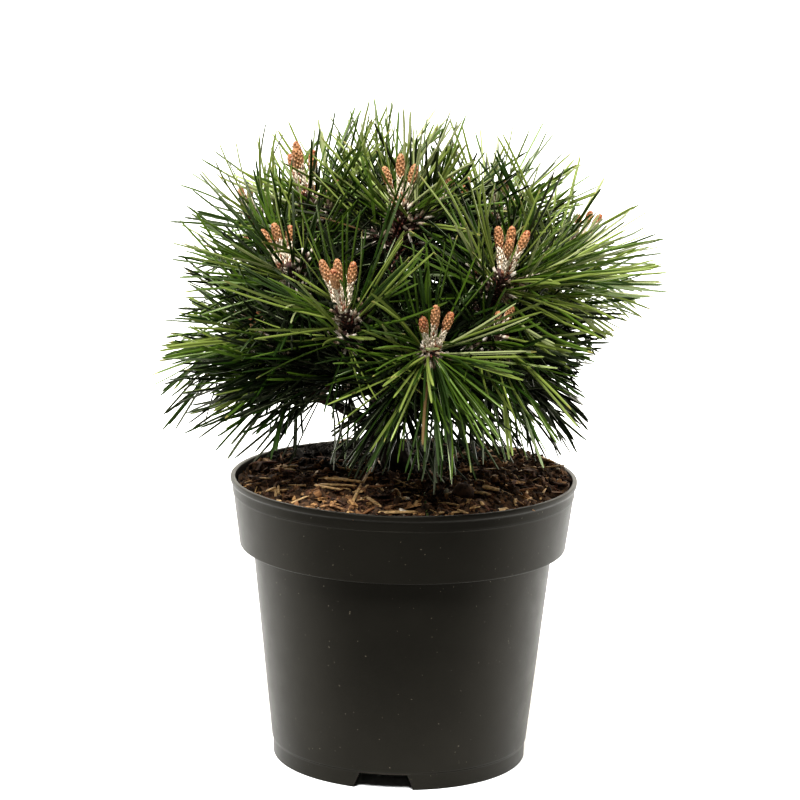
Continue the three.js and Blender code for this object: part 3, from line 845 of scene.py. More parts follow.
# the turned pot: segments round it, stations along its walls and their distance from a corner, the rounding
# of its edges, and the least angle between faces, in degrees, that is rounded
TURNING = {"segments": 160, "station": 9, "corner": 1.0, "rounding": 0.55, "sharp": 28}


def body_inside(height, wall):
    share = (height - FOOT_HEIGHT) / (COLLAR_BOTTOM - FOOT_HEIGHT)
    return BODY_RADII[0] + (BODY_RADII[1] - BODY_RADII[0]) * share - wall


def collar_inside(height, wall, top):
    share = (height - COLLAR_BOTTOM) / (top - COLLAR_BOTTOM)
    return COLLAR_RADII[0] + (COLLAR_RADII[1] - COLLAR_RADII[0]) * share - wall


def held(profile, step, hold):
    """A profile with extra points near its corners and along its long walls, so that they shade flat."""
    points = [np.array(p, float) for p in profile]
    made = [points[0]]
    for a, b in zip(points, points[1:]):
        size = np.linalg.norm(b - a)
        inner = []
        if size > 3 * hold:
            inner = [hold / size, *np.arange(step, size - step, step) / size, 1 - hold / size]
        made += [a + (b - a) * t for t in sorted(inner)] + [b]
    return made


def spun(profile, segments):
    """A profile of (radius, height) in millimetres, spun about +Z."""
    bm = bmesh.new()
    verts = [bm.verts.new((r * MM, 0, z * MM)) for r, z in profile]
    edges = [bm.edges.new(pair) for pair in zip(verts, verts[1:])]
    spin = {"cent": (0, 0, 0), "axis": (0, 0, 1), "angle": math.tau, "steps": segments, "use_merge": True}
    bmesh.ops.spin(bm, geom=verts + edges, **spin)
    bmesh.ops.remove_doubles(bm, verts=bm.verts, dist=WELD)
    bmesh.ops.recalc_face_normals(bm, faces=bm.faces)
    return bm


def round_edges(bm, rounding):
    """Rounds the sharp edges of a solid, in millimetres."""
    sharp = [e for e in bm.edges if e.is_manifold and e.calc_face_angle() > math.radians(TURNING["sharp"])]
    kind = {"offset_type": "OFFSET", "affect": "EDGES", "segments": 3, "profile": 0.5, "material": -1}
    bmesh.ops.bevel(bm, geom=sharp, offset=rounding * MM, **kind)


def notch_cutter(bm, bearing):
    """A wedge through the foot ring, narrower at the top."""
    made = bmesh.ops.create_cube(bm, size=1)["verts"]
    for vert in made:
        width = NOTCHES["top"] if vert.co.z > 0 else NOTCHES["bottom"]
        z = FOOT_HEIGHT - GAP if vert.co.z > 0 else -NOTCHES["below"]
        place = polar(bearing, FOOT_RADIUS + vert.co.x * NOTCHES["depth"], z)
        side = polar(bearing + 90, vert.co.y * width, 0)
        vert.co = Vector(place + side) * MM


def foot_cutter():
    """What is cut away: the notches through the foot ring and the drain holes through the floor."""
    bm = bmesh.new()
    for i in range(NOTCHES["count"]):
        notch_cutter(bm, NOTCHES["bearing"] + 360 / NOTCHES["count"] * i)
    radius, depth = DRAINS["radius"] * MM, DRAINS["depth"] * MM
    drill = {"segments": DRAINS["segments"], "radius1": radius, "radius2": radius, "depth": depth}
    for i in range(DRAINS["count"]):
        spot = polar(360 / DRAINS["count"] * i, DRAINS["ring"], FOOT_HEIGHT) * MM
        bmesh.ops.create_cone(bm, cap_ends=True, matrix=Matrix.Translation(spot), **drill)
    return bm


def cut(mesh, cutter_bm):
    """Subtracts closed cutters from a mesh."""
    bmesh.ops.recalc_face_normals(cutter_bm, faces=cutter_bm.faces)
    cutter_mesh = mesh_of(cutter_bm, "cutter")
    objects = [bpy.data.objects.new("cut", mesh), bpy.data.objects.new("cutter", cutter_mesh)]
    for obj in objects:
        bpy.context.scene.collection.objects.link(obj)
    modifier = objects[0].modifiers.new("cut", "BOOLEAN")
    modifier.object = objects[1]
    modifier.solver = "EXACT"
    graph = bpy.context.evaluated_depsgraph_get()
    result = bpy.data.meshes.new_from_object(objects[0].evaluated_get(graph), depsgraph=graph)
    for obj in objects:
        bpy.data.objects.remove(obj)
    bpy.data.meshes.remove(cutter_mesh)
    return result


def pot_profile(wall, top, rim):
    """The pot's section, from the middle of its underside round its rim to the middle of its floor."""
    ledge = COLLAR_BOTTOM + wall
    lip = top - LIP["height"]
    return [
        (0, FOOT_HEIGHT),
        (FOOT_RADIUS - FOOT_WIDTH, FOOT_HEIGHT),
        (FOOT_RADIUS - FOOT_WIDTH, 0),
        (FOOT_RADIUS, 0),
        (FOOT_RADIUS + FOOT_DRAFT, FOOT_HEIGHT),
        (BODY_RADII[0], FOOT_HEIGHT + FOOT_STEP),
        (BODY_RADII[1], COLLAR_BOTTOM),
        (COLLAR_RADII[0], COLLAR_BOTTOM),
        *[(COLLAR_RADII[1] - inwards, lip - down) for inwards, down in (BAND["bottom"], BAND["top"])],
        (COLLAR_RADII[1], lip - LIP["below"]),
        (rim, lip + LIP["above"]),
        (rim, top),
        (COLLAR_RADII[1] - wall, top),
        (collar_inside(ledge, wall, top), ledge),
        (body_inside(ledge, wall), ledge),
        (body_inside(FOOT_HEIGHT + FLOOR, wall), FOOT_HEIGHT + FLOOR),
        (0, FOOT_HEIGHT + FLOOR),
    ]


class PINE_OT_pot(bpy.types.Operator):
    """Adds the moulded nursery pot"""

    bl_idname = "pine.pot"
    bl_label = "Pot"

    def execute(self, context):
        pot = context.scene.pine.pot
        profile = pot_profile(pot.wall / MM, pot.height / MM, pot.rim_radius / MM)
        bm = spun(held(profile, TURNING["station"], TURNING["corner"]), TURNING["segments"])
        round_edges(bm, TURNING["rounding"])
        mesh = cut(mesh_of(bm, "pot"), foot_cutter())
        shade_smooth(mesh)
        mesh.materials.append(polypropylene(pot.plastic))
        add_piece("pot_shell", mesh, "pot_plastic", ["pot"])
        return {"FINISHED"}


# ------------------------------------------------------------ compost

# the compost's top, as the solid has it: a flat patch round the trunk, lumps, and a tilt away from the front
SOIL = {
    "flat_radius": 17,
    "rings": 3,
    "clearance": 2 * GAP,
    "lump": 1.2,
    "lump_pitch": 0.21,
    "fine_pitch": 0.34,
    "fine_share": 0.6,
    "edge_drop": 4,
    "tilt": 3.2,
    "high_bearing": 53,
}
# painted shadow of the crown on the compost behind the stem: the middle and half size of the shadowed patch,
# and its share outwards
CROWN_SHADOW_PATCH = {"middle": (-14, 44), "size": (62, 48), "share": ((0.55, 1.15), (0.96, 0))}
# its fine relief: clods, crumbs and grains, each as how many to a millimetre and how high in millimetres
RELIEF = {"clods": (0.11, 1.5), "crumbs": (0.42, 1.8), "grains": (1.1, 0.5), "sunk": 0.6}
# the bed's mesh, the width in which its relief fades at the edge, and how many patches of colour to a metre
BED = {"rings": 86, "segments": 440, "fade": 2, "patches": 180}


def soil_height(x, y):
    """The compost's top in millimetres, by the solid's own rule."""
    radius = np.hypot(x, y)
    flat = SOIL["flat_radius"]
    outward = np.clip((radius - flat) / (COLLAR_RADII[1] - flat), 0, 1)
    coarse = np.sin(x * SOIL["lump_pitch"] + 1) * np.cos(y * SOIL["lump_pitch"])
    fine = SOIL["fine_share"] * np.sin((x - y) * SOIL["fine_pitch"])
    slope = np.cos(np.arctan2(y, x) - math.radians(SOIL["high_bearing"]))
    lumps = SOIL["lump"] * np.minimum(1, SOIL["rings"] * outward) * (coarse + fine)
    return SOIL_LEVEL + lumps + outward**2 * (SOIL["tilt"] * slope - SOIL["edge_drop"])


def crumbled(x, y):
    """Fine relief on the compost: clods, crumbs and pits, in millimetres."""
    spot = Vector((x, y, 0))
    pitch, high = RELIEF["clods"]
    clods = noise.fractal(spot * pitch, 1.0, 2.2, 4) * high
    pitch, high = RELIEF["crumbs"]
    crumbs = abs(noise.noise(spot * pitch)) * high
    pitch, high = RELIEF["grains"]
    return clods + (crumbs + noise.noise(spot * pitch) * high) - RELIEF["sunk"]


def crown_shadow_share(x, y):
    """How much painted shadow the compost has behind the stem, where the crown hangs low over it."""
    x0, y0, wide, deep = CROWN_SHADOW_PATCH["middle"] + CROWN_SHADOW_PATCH["size"]
    return np.interp(np.hypot((x - x0) / wide, (y - y0) / deep), *CROWN_SHADOW_PATCH["share"])


def crown_shadowed_kinds(kinds, spots, shadowed_kind, rng):
    """The kinds of what lies at spots, with the darker kind, a painted shadow, where the crown shades the
    compost under them.
    """
    return np.where(rng.uniform(0, 1, len(spots)) < crown_shadow_share(spots[:, 0], spots[:, 1]), shadowed_kind, kinds)


class PINE_OT_compost(bpy.types.Operator):
    """Adds the peat that fills the pot, with its crumbled top"""

    bl_idname = "pine.compost"
    bl_label = "Compost"

    def execute(self, context):
        compost = context.scene.pine.compost
        wall = context.scene.pine.pot.wall / MM
        top = context.scene.pine.pot.height / MM
        bottom = FOOT_HEIGHT + FLOOR + GAP
        ledge = COLLAR_BOTTOM + wall + GAP
        edge = collar_inside(SOIL_LEVEL - 2 * SOIL["edge_drop"], wall, top) - SOIL["clearance"]
        rings = BED["rings"]
        profile = [
            (0, bottom),
            (body_inside(bottom, wall) - SOIL["clearance"], bottom),
            (body_inside(ledge, wall) - SOIL["clearance"], ledge),
            (collar_inside(ledge, wall, top) - SOIL["clearance"], ledge),
            *[(edge * (1 - i / rings), SOIL_LEVEL) for i in range(rings + 1)],
        ]
        bm = spun(profile, BED["segments"])
        for vert in bm.verts:
            if vert.co.z > (ledge + GAP) * MM:
                x, y = vert.co.x / MM, vert.co.y / MM
                fade = min(1, (edge - math.hypot(x, y)) / BED["fade"])
                vert.co.z = (soil_height(x, y) + crumbled(x, y) * fade) * MM
        mesh = mesh_of(bm, "compost")
        # painted shadow: where the crown shades the bed, its faces take a darker peat
        for polygon in mesh.polygons:
            x, y = polygon.center.x / MM, polygon.center.y / MM
            patch = noise.noise(polygon.center * BED["patches"])
            polygon.material_index = int(crown_shadow_share(x, y) > 0.5 + 0.5 * patch)
        dark = compost.dark_peat
        mesh.materials.append(peat("moist_peat", dark, compost.light_peat))
        # the darker peat is the crown's painted shadow
        mesh.materials.append(peat("crown_shadow_peat", shaded(dark, 0.5), shaded(dark, 1.5)))
        add_piece("compost_bed", mesh, "bark_compost", ["compost"])
        return {"FINISHED"}


# litter: how far out it lies, and the share of the compost's area round the trunk that it leaves free
LITTER = {"crumbs": 80.5, "chips": 79, "bits": 78, "free": 0.012}


def on_compost(x, y):
    """Spots on the compost's crumbled top, in millimetres."""
    relief = np.array([crumbled(a, b) for a, b in zip(x, y)])
    return np.stack([x, y, soil_height(x, y) + relief], axis=1)


def scattered(rng, count, most):
    """Random spots on the compost, in millimetres, clear of the trunk's foot and the rim."""
    radius = np.sqrt(rng.uniform(LITTER["free"], 1, count)) * most
    turn = rng.uniform(0, math.tau, count)
    return on_compost(radius * np.cos(turn), radius * np.sin(turn))


def level(turn, rise):
    """Headings that lie near the ground, one for each bearing."""
    return np.stack([np.cos(turn), np.sin(turn), rise], axis=1)


# loose lumps: how many shapes and how rough, their least and further size in mm, how uneven they are, how far
# they stand out at most beside their size, and the shares of their finishes
CRUMBS = {
    "shapes": 4,
    "rough": 0.35,
    "least": 0.9,
    "more": 3.8,
    "uneven": (0.6, 1.3),
    "above": 0.4,
    "mix": (0.44, 0.28, 0.2, 0.06, 0.02),
}
CLOD = {"place": (28.5, -45), "size": 10.5, "height": 0.85, "above": 0.3, "rough": 0.03}  # a lump of clay
# the clay's finish, and a darker peat that is the crown's painted shadow
CLAY, SHADOWED_PEAT = 5, 6  # their finishes' numbers


def peat_crumbs(compost, rng):
    """Loose lumps of peat, a few pale grains and a clod of clay."""
    heap = Heap()
    for seed in range(CRUMBS["shapes"]):
        template = lump_template(1, seed, CRUMBS["rough"])
        spots = scattered(rng, compost.crumbs // CRUMBS["shapes"], LITTER["crumbs"])
        n = len(spots)
        size = CRUMBS["least"] + CRUMBS["more"] * rng.uniform(0, 1, n) ** 3
        heading = rng.normal(size=(n, 3))
        outward = rng.normal(size=(n, 3))
        scale = size[:, None] * rng.uniform(*CRUMBS["uneven"], (n, 3))
        spots[:, 2] += size * rng.uniform(0.0, CRUMBS["above"], n)
        # painted shadow: crumbs where the crown shades the compost take the darker peat
        slots = crown_shadowed_kinds(rng.choice(5, n, p=CRUMBS["mix"]), spots, SHADOWED_PEAT, rng)
        heap.add_copies(template, spots, frames(heading, outward, scale), slots)
    size = CLOD["size"]
    place = np.array([[*CLOD["place"], soil_height(*CLOD["place"]) + CLOD["above"] * size]])
    scale = np.diag([size, size, CLOD["height"] * size])[None]
    heap.add_copies(lump_template(3, 9, CLOD["rough"]), place, scale, [CLAY])
    dark, light = compost.dark_peat, compost.light_peat
    finishes = [
        peat("peat_crumb_dark", dark, shaded(light, 0.7)),
        peat("peat_crumb_brown", shaded(dark, 1.6), light),
        peat("peat_crumb_light", light, shaded(light, 2.0)),
        peat("bark_crumb_red", linear("2c180d"), linear("6f4a2e")),
        peat("pale_grain", linear("a89a86"), linear("e6dccb")),
        peat("clay_clod", linear("2c1c12"), linear("5b412c")),
        # a darker peat, the crown's painted shadow
        peat("peat_crumb_crown_shadow", shaded(dark, 0.5), shaded(dark, 2)),
    ]
    return heap.mesh("crumbs", finishes, smooth=False)


# chips: how many shapes, how many of each and how rough, their least and further length in mm and how rare
# long ones are, their width beside it, their thickness in mm, how they tilt, and the shares of their finishes
CHIPS = {
    "shapes": 3,
    "seed": 20,
    "each": 150,
    "rough": 0.16,
    "least": 2.5,
    "more": 7,
    "rarity": 2.2,
    "width": (0.3, 0.6),
    "thick": (0.7, 1.6),
    "rise": (-0.35, 0.35),
    "roll": 0.3,
    "above": 0.5,
    "mix": (0.45, 0.25, 0.3),
}
# the finish of chips that lie in the crown's painted shadow
SHADOWED_CHIP = 3


def wood_chips(rng):
    """Flat chips of pine bark and wood."""
    heap = Heap()
    for seed in range(CHIPS["shapes"]):
        template = box_template(seed + CHIPS["seed"], CHIPS["rough"])
        spots = scattered(rng, CHIPS["each"], LITTER["chips"])
        n = len(spots)
        heading = level(rng.uniform(0, math.tau, n), rng.uniform(*CHIPS["rise"], n))
        roll = CHIPS["roll"]
        outward = np.stack([rng.normal(0, roll, n), rng.normal(0, roll, n), np.ones(n)], axis=1)
        size = CHIPS["least"] + CHIPS["more"] * rng.uniform(0, 1, n) ** CHIPS["rarity"]
        width = size * rng.uniform(*CHIPS["width"], n)
        scale = np.stack([width, size, rng.uniform(*CHIPS["thick"], n)], axis=1)
        spots[:, 2] += CHIPS["above"]
        # painted shadow: chips where the crown shades the compost take the darker bark
        slots = crown_shadowed_kinds(rng.choice(3, n, p=CHIPS["mix"]), spots, SHADOWED_CHIP, rng)
        heap.add_copies(template, spots, frames(heading, outward, scale), slots)
    finishes = [
        bark("pine_bark_chip", linear("4c3323"), 2.5),
        bark("pine_bark_chip_red", linear("5e432b"), 2.5),
        flecked("wood_chip", linear("7a5430"), linear("c59c68"), 1.4, 0.8),
        # darker bark, the crown's painted shadow
        bark("crown_shadow_bark_chip", linear("1a1009"), 2.5),
    ]
    return heap.mesh("chips", finishes, smooth=False)


# the finishes of the longer bits, the last a dark one that is the crown's painted shadow, and those placed
# where they show: from x, y to x, y, width, finish
STRAW, SPLINTER, TWIG_BIT, ROOTLET, FALLEN, SHADOWED_BIT = range(6)
PLACED_BITS = [
    (-41, -31, -21, -40, 2.9, STRAW),
    (-38, -28, -20, -35, 2.8, STRAW),
    (-43, -36, -30, -44, 2.2, STRAW),
    (-27, -79, -19, -10, 1.8, STRAW),
    (-17, -54, -11, -66, 3.0, STRAW),
    (-44, 31, -25, 4, 1.8, TWIG_BIT),
    (-52, 22, -20, 6, 1.5, SPLINTER),
    (-13, 15, 1, -39, 1.9, STRAW),
    (-18, -5, -7, 41, 1.6, SPLINTER),
    (-54, -50, -42, -47, 1.7, STRAW),
    (-12, -75, 6, -71, 3.2, STRAW),
    (20, -48, 26, -39, 2.8, STRAW),
    (33, -40, 42, -47, 3.4, STRAW),
    (38, -36, 46, -41, 3.4, STRAW),
    (58, -61, 63, -38, 1.1, ROOTLET),
    (52, -44, 61, -62, 1.0, ROOTLET),
    (71, 43, 80, 8, 1.4, STRAW),
    (66, 30, 76, 26, 3.0, STRAW),
    (12, -2, 16, -19, 2.6, SPLINTER),
    (-60, -16, -40, 2, 1.3, TWIG_BIT),
    (-66, 4, -52, -6, 1.6, TWIG_BIT),
    (-24, -62, -4, -52, 1.6, TWIG_BIT),
    (44, -64, 50, -58, 3.2, STRAW),
    (2, -28, 12, -24, 2.2, SPLINTER),
    (10, -45, 10, -80, 1.3, FALLEN),
]

# bits of straw and wood: least and further length in mm and how rare long ones are, width in mm, depth beside
# it, how they rise, sway, sag and roll, how high they lie, and how much of the bend the placed ones have
BITS = {
    "stations": (0, 0.04, 0.3, 0.6, 0.9, 1),
    "profile": ((0, 0.04, 0.5, 0.9, 1), (0.4, 0.9, 1, 0.75, 0.3)),
    "least": 3,
    "more": 15,
    "rarity": 2.4,
    "width": (0.4, 2.1),
    "depth": (0.18, 0.4),
    "rise": (0, 0.12),
    "placed_rise": 0.02,
    "sway": 0.12,
    "sag": (-0.1, 0.02),
    "roll": 0.25,
    "above": 1.1,
    "above_width": 0.3,
    "placed_bend": 0.35,
    "mix": (0.44, 0.14, 0.24, 0.18),
}


def litter_bits(compost, rng):
    """Straw, splinters, dry twigs, rootlets and a fallen needle, lying on the compost."""
    template = Template(6, BITS["stations"])
    count = compost.fibres
    spots = scattered(rng, count, LITTER["bits"])
    placed = np.array(PLACED_BITS)
    ends = placed[:, :4].reshape(-1, 2, 2)
    across = ends[:, 1] - ends[:, 0]
    spots = np.concatenate([spots, on_compost(*ends.mean(axis=1).T)])
    size = BITS["least"] + BITS["more"] * rng.uniform(0, 1, count) ** BITS["rarity"]
    size = np.concatenate([size, np.linalg.norm(across, axis=1)])
    turn = np.concatenate([rng.uniform(0, math.tau, count), np.arctan2(across[:, 1], across[:, 0])])
    width = np.concatenate([rng.uniform(*BITS["width"], count), placed[:, 4]])
    # painted shadow: bits where the crown shades the compost take the dark finish
    kinds = crown_shadowed_kinds(rng.choice(4, count, p=BITS["mix"]), spots[:count], SHADOWED_BIT, rng)
    kinds = np.concatenate([kinds, placed[:, 5].astype(int)])
    n = len(spots)
    heading = level(turn, np.zeros(n))
    near = spots - heading * size[:, None] / 2
    far = spots + heading * size[:, None] / 2
    rise = soil_height(far[:, 0], far[:, 1]) - soil_height(near[:, 0], near[:, 1])
    steeper = np.where(np.arange(n) < count, rng.uniform(*BITS["rise"], n), BITS["placed_rise"])
    heading[:, 2] = rise / size + steeper
    sway = BITS["sway"]
    bend = np.stack([rng.normal(0, sway, n), rng.normal(0, sway, n), rng.uniform(*BITS["sag"], n)], axis=1)
    bend[count:] *= BITS["placed_bend"]
    spots = spots - heading * size[:, None] / 2
    spots[:, 2] += BITS["above"] + width * BITS["above_width"]
    outward = np.tile(UP, (n, 1)) + rng.normal(0, BITS["roll"], (n, 3))
    depth = width * rng.uniform(*BITS["depth"], n)
    corners = template.along(spots, unit(heading), outward, size, bend, width, depth, BITS["profile"])
    heap = Heap()
    heap.add(corners, template.loops, template.sizes, kinds)
    finishes = [
        flecked("straw", shaded(compost.straw, 0.5), compost.straw, 1.6, 0.6),
        bark("bark_splinter", linear("75502f"), 2.0),
        bark("dry_twig", linear("5c3a27"), 1.6),
        flecked("rootlet", linear("57391f"), linear("a07a50"), 2.0, 0.8),
        waxy("fallen_needle", linear("4a5a22"), 0.5),
        # a dark finish, the crown's painted shadow
        bark("crown_shadow_straw", linear("23160d"), 2.0),
    ]
    return heap.mesh("fibres", finishes)


class PINE_OT_litter(bpy.types.Operator):
    """Adds the crumbs, bark chips, straw and rootlets on the compost"""

    bl_idname = "pine.litter"
    bl_label = "Litter"

    def execute(self, context):
        compost = context.scene.pine.compost
        rng = RNG(11)
        add_piece("compost_crumbs", peat_crumbs(compost, rng), "bark_compost", [])
        add_piece("bark_chips", wood_chips(rng), "bark_compost", [])
        add_piece("straw_and_rootlets", litter_bits(compost, rng), "bark_compost", [])
        return {"FINISHED"}


# ------------------------------------------------------------ wood

# bark's plates: their width and length in mm, and their share of the relief
PLATES = {"trunk": (4.2, 6.5, 1), "bough": (3.2, 4.2, 0.6), "shoot": (1.9, 2.6, 0.45)}
# how steep the cracks are, how far the plates stand above them, and how high and fine their roughness is
CRACKS = {"sharpness": 3.2, "level": 0.75, "roughness": 0.55, "grains": 0.45}
COLLAR = {"swell": 1.2, "fading": 5}  # how much thicker a bough is where it leaves the trunk
# sides and steps of each kind of limb; a shoot's steps are a length apart
MESHING = {"trunk": (64, 190), "bough": (26, 56), "stem": (16, 10), "twig": (10, 10)}
SHOOT_MESHING = {"sides": 16, "step": 1.2, "fewest": 8}


def plated(kind, height):
    """Bark relief in millimetres: raised plates with cracks between them."""
    around, along, share = PLATES[kind]

    def relief(spot):
        place = Vector((spot[0] / around, spot[1] / around, spot[2] / along))
        near, far = noise.voronoi(place)[0][:2]
        crack = min(1.0, (far - near) * CRACKS["sharpness"])
        rough = noise.fractal(Vector(spot) * CRACKS["grains"], 1.0, 2.1, 4)
        return height * share * (crack - CRACKS["level"] + CRACKS["roughness"] * rough)

    return relief


def bough_radius(share, angle):
    collar = COLLAR["swell"] * max(0, 1 - COLLAR["fading"] * share)
    return BOUGH["start"] + (BOUGH["end"] - BOUGH["start"]) * share + collar


def old_wood(height):
    """The trunk and the boughs."""
    bm = bmesh.new()
    bar(bm, trunk_way, trunk_radius, *MESHING["trunk"], plated("trunk", height))
    for mass in MASSES:
        if mass["bough"]:
            bar(bm, mass["bough"], bough_radius, *MESHING["bough"], plated("bough", height))
    return bm


def young_wood(height):
    """The stems, shoots and side twigs that carry the needles."""
    bm = bmesh.new()
    fine = plated("shoot", height)
    for mass in MASSES:
        bar(bm, mass["stem"], lambda s, a: STEM["radius"], *MESHING["stem"], fine)
        for shoot in mass["shoots"]:
            steps = max(SHOOT_MESHING["fewest"], round(shoot["way"].length / SHOOT_MESHING["step"]))
            bar(bm, shoot["way"], lambda s, a: shoot_radius(s), SHOOT_MESHING["sides"], steps, fine)
    thick, thinning = TWIG["taper"]
    for twig in TWIGS:
        bar(bm, twig["way"], lambda s, a: TWIG["radius"] * (thick - thinning * s), *MESHING["twig"], fine)
    return bm


class PINE_OT_wood(bpy.types.Operator):
    """Adds the trunk, the boughs and the shoots that carry the needles"""

    bl_idname = "pine.wood"
    bl_label = "Trunk and boughs"

    def execute(self, context):
        wood = context.scene.pine.wood
        height = wood.relief / MM
        limbs = ["trunk"] + ["bough_" + mass["name"] for mass in MASSES if mass["bough"]]
        old_bark = bark("old_pine_bark", wood.bark, 3.2)
        young_bark = bark("young_shoot_bark", wood.shoot_bark, 1.6, 0.75)
        for name, bm, finish, slot, nodes in (
            ("limbs", old_wood(height), old_bark, "bark", limbs),
            ("shoots", young_wood(height), young_bark, "needles", FOLIAGE),
        ):
            bmesh.ops.recalc_face_normals(bm, faces=bm.faces)
            mesh = mesh_of(bm, name)
            mesh.materials.append(finish)
            add_piece(name, mesh, slot, nodes)
        return {"FINISHED"}


# ------------------------------------------------------------ needles

# shoots whose bark shows below the candles: mass, shoot, bearing that the bare side faces, degrees each way
BARE_SIDES = [
    ("top", 0, -95, 62),
    ("upper_left", 0, -100, 45),
    ("front_left", 0, -95, 40),
    ("left", 0, -80, 35),
    ("right", 0, -95, 35),
]
BARE_FROM = 0.12  # share of the clothed length that has needles all round, at the tip
SKIRT = ((-60, 10, 50), (4, 8, 26))  # how far above the compost the lowest needles stay, from front to back
# shoots that aren't like most: (mass, shoot): share of the usual number of needles, share of their length
HABIT = {
    ("top", 0): (0.75, 1.0),
    ("top", 1): (0.8, 1.0),
    ("top", 2): (0.5, 1.0),
    ("upper_left", 0): (0.85, 1.04),
    ("upper_left", 1): (0.8, 1.0),
    ("left", 0): (0.85, 1.0),
    ("left", 1): (0.65, 1.04),
    ("lower_left", 0): (0.85, 1.06),
    ("lower_left", 1): (0.75, 1.1),
    ("front_left", 0): (1.4, 1.0),
    ("front", 0): (1.6, 1.04),
    ("front", 1): (1.8, 1.0),
    ("front_right", 1): (0.6, 0.95),
    ("right", 0): (1.0, 1.08),
    ("right", 1): (1.0, 1.14),
    ("right", 2): (0.3, 1.0),
    ("upper_right", 0): (0.65, 1.0),
    ("upper_right", 1): (0.55, 1.0),
    ("lower_right", 0): (0.9, 1.0),
    ("lower_right", 1): (1.4, 1.04),
    ("back_right", 2): (0.4, 1.0),
    ("back", 2): (0.4, 1.0),
    ("back_left", 2): (0.4, 1.0),
}
# how far the sprays reach, seen from the front: x and z round the crown
CROWN_OUTLINE = [
    (-106, 290), (-94, 306), (-77, 302), (-68, 310), (-40, 318), (-19, 327), (1, 329), (17, 321), (43, 312),
    (60, 320), (79, 303), (95, 286), (114, 274), (129, 265), (131, 254), (126, 236), (104, 222), (92, 204),
    (83, 192), (87, 173), (92, 161), (82, 153), (62, 143), (24, 136), (-20, 141), (-44, 146), (-80, 146),
    (-95, 152), (-118, 164), (-122, 193), (-125, 202), (-106, 229), (-109, 237), (-120, 262), (-118, 270),
]
# openings that show the sky: x, z, half sizes, share of needles that cross them
SKY = [(-33, 168, 20, 9, 0.16), (57, 166, 22, 11, 0.45)]
# needles that would cross the outline: the least share of their length that they may lose it at, and how many
# of them are left, shortened, nearer to it
OUTLINE_RULE = {"least": 0.72, "kept": 0.45, "over": 1.08}
CLUMPS = {"size": 0.42, "pitch": 1.9}  # how strongly, and how often round a shoot, its needles draw together
# how much the needles of a spray bend together, and each by itself, down and towards its shoot's tip
BEND = {"spray": 0.045, "needle": 0.075, "down": (-0.02, 0.07), "onwards": (-0.05, 0.13)}
# a spray's spread: shifts along the shoot, in pairs, unevenness of the length, how far out the roots stand
SPREAD = {"shift": 0.4, "lean_sway": 1.5, "uneven": (-0.16, 0.12), "rooted": 0.75}
# what needles keep clear of: the box of the solids, and any other limb from a little way above their root
CLEAR = {"box": 1.5, "limb": 0.5, "root": 5}
MORE_CLOTHED = 8  # how much further down a shoot its needles reach than the solids' do


def spiral(rows, way, radius, count, length_mm, clothed, owner, rng, bare=None, flat=NEEDLE["flat"]):
    """Adds a golden-angle spiral of needle pairs on a shoot or twig to rows. bare is the direction that a
    bare side faces, and the cosine of its spread."""
    tilt = rng.normal(0, BEND["spray"], 3)
    seed = rng.uniform(0, 50, 3)
    for k in range(count):
        share = (k + 0.5 + rng.uniform(-1, 1) * SPREAD["shift"]) / count
        along = 1 - share * min(clothed / way.length, NEEDLE["most_clothed"])
        axis = way.heading(along)
        turn = k * GOLDEN_ANGLE + math.radians(rng.uniform(-1, 1) * NEEDLE["sway"])
        side = turned(unit(np.cross(axis, UP)), axis, turn)
        lean = NEEDLE["steep"] + (flat - NEEDLE["steep"]) * share ** NEEDLE["opening"]
        angle = math.radians(lean + rng.uniform(-1, 1) * SPREAD["lean_sway"] * NEEDLE["sway"])
        heading = axis * math.cos(angle) + side * math.sin(angle)
        drawn = noise.noise_vector(Vector(heading * CLUMPS["pitch"] + seed))
        heading = unit(heading + np.array(drawn) * CLUMPS["size"])
        if bare and share > BARE_FROM and heading @ bare[0] > bare[1]:
            continue
        size = length_mm * (1 + rng.uniform(*SPREAD["uneven"]))
        root = way.place(along) + side * SPREAD["rooted"] * radius(along)
        bend = tilt + rng.normal(0, BEND["needle"], 3) - UP * rng.uniform(*BEND["down"])
        bend = bend + axis * rng.uniform(*BEND["onwards"])
        rows.append((root, heading, axis, size, bend, owner))


def seen(points):
    """Where points show on the upright plane through the pot's axis, seen from the front."""
    eye = np.array(CAMERA["place"])
    share = eye[1] / (eye[1] - points[..., 1:2])
    return (eye + (points - eye) * share)[..., [0, 2]]


def room_in_outline(start, end):
    """How many times each stroke from start to end fits in before it crosses the crown's outline."""
    corner = np.array(CROWN_OUTLINE, float)
    side = (np.roll(corner, -1, axis=0) - corner)[None]
    stroke = (end - start)[:, None]
    gap = corner[None] - start[:, None]
    turn = stroke[..., 0] * side[..., 1] - stroke[..., 1] * side[..., 0]
    along = (gap[..., 0] * side[..., 1] - gap[..., 1] * side[..., 0]) / turn
    share = (gap[..., 0] * stroke[..., 1] - gap[..., 1] * stroke[..., 0]) / turn
    hit = (along > 0) & (share >= 0) & (share <= 1)
    return np.where(hit, along, FAR).min(axis=1) * (hit.sum(axis=1) % 2)


def across_sky(root, tip, rng):
    """Which needles hang across an opening that they are thinned out from."""
    path = seen(root[:, None] + (tip - root)[:, None] * np.linspace(0.1, 1, 8)[None, :, None])
    dropped = np.zeros(len(root), bool)
    for x, z, wide, high, share in SKY:
        inside = ((path[..., 0] - x) / wide) ** 2 + ((path[..., 1] - z) / high) ** 2 < 1
        dropped |= inside.any(axis=1) & (rng.uniform(0, 1, len(root)) > share)
    return dropped


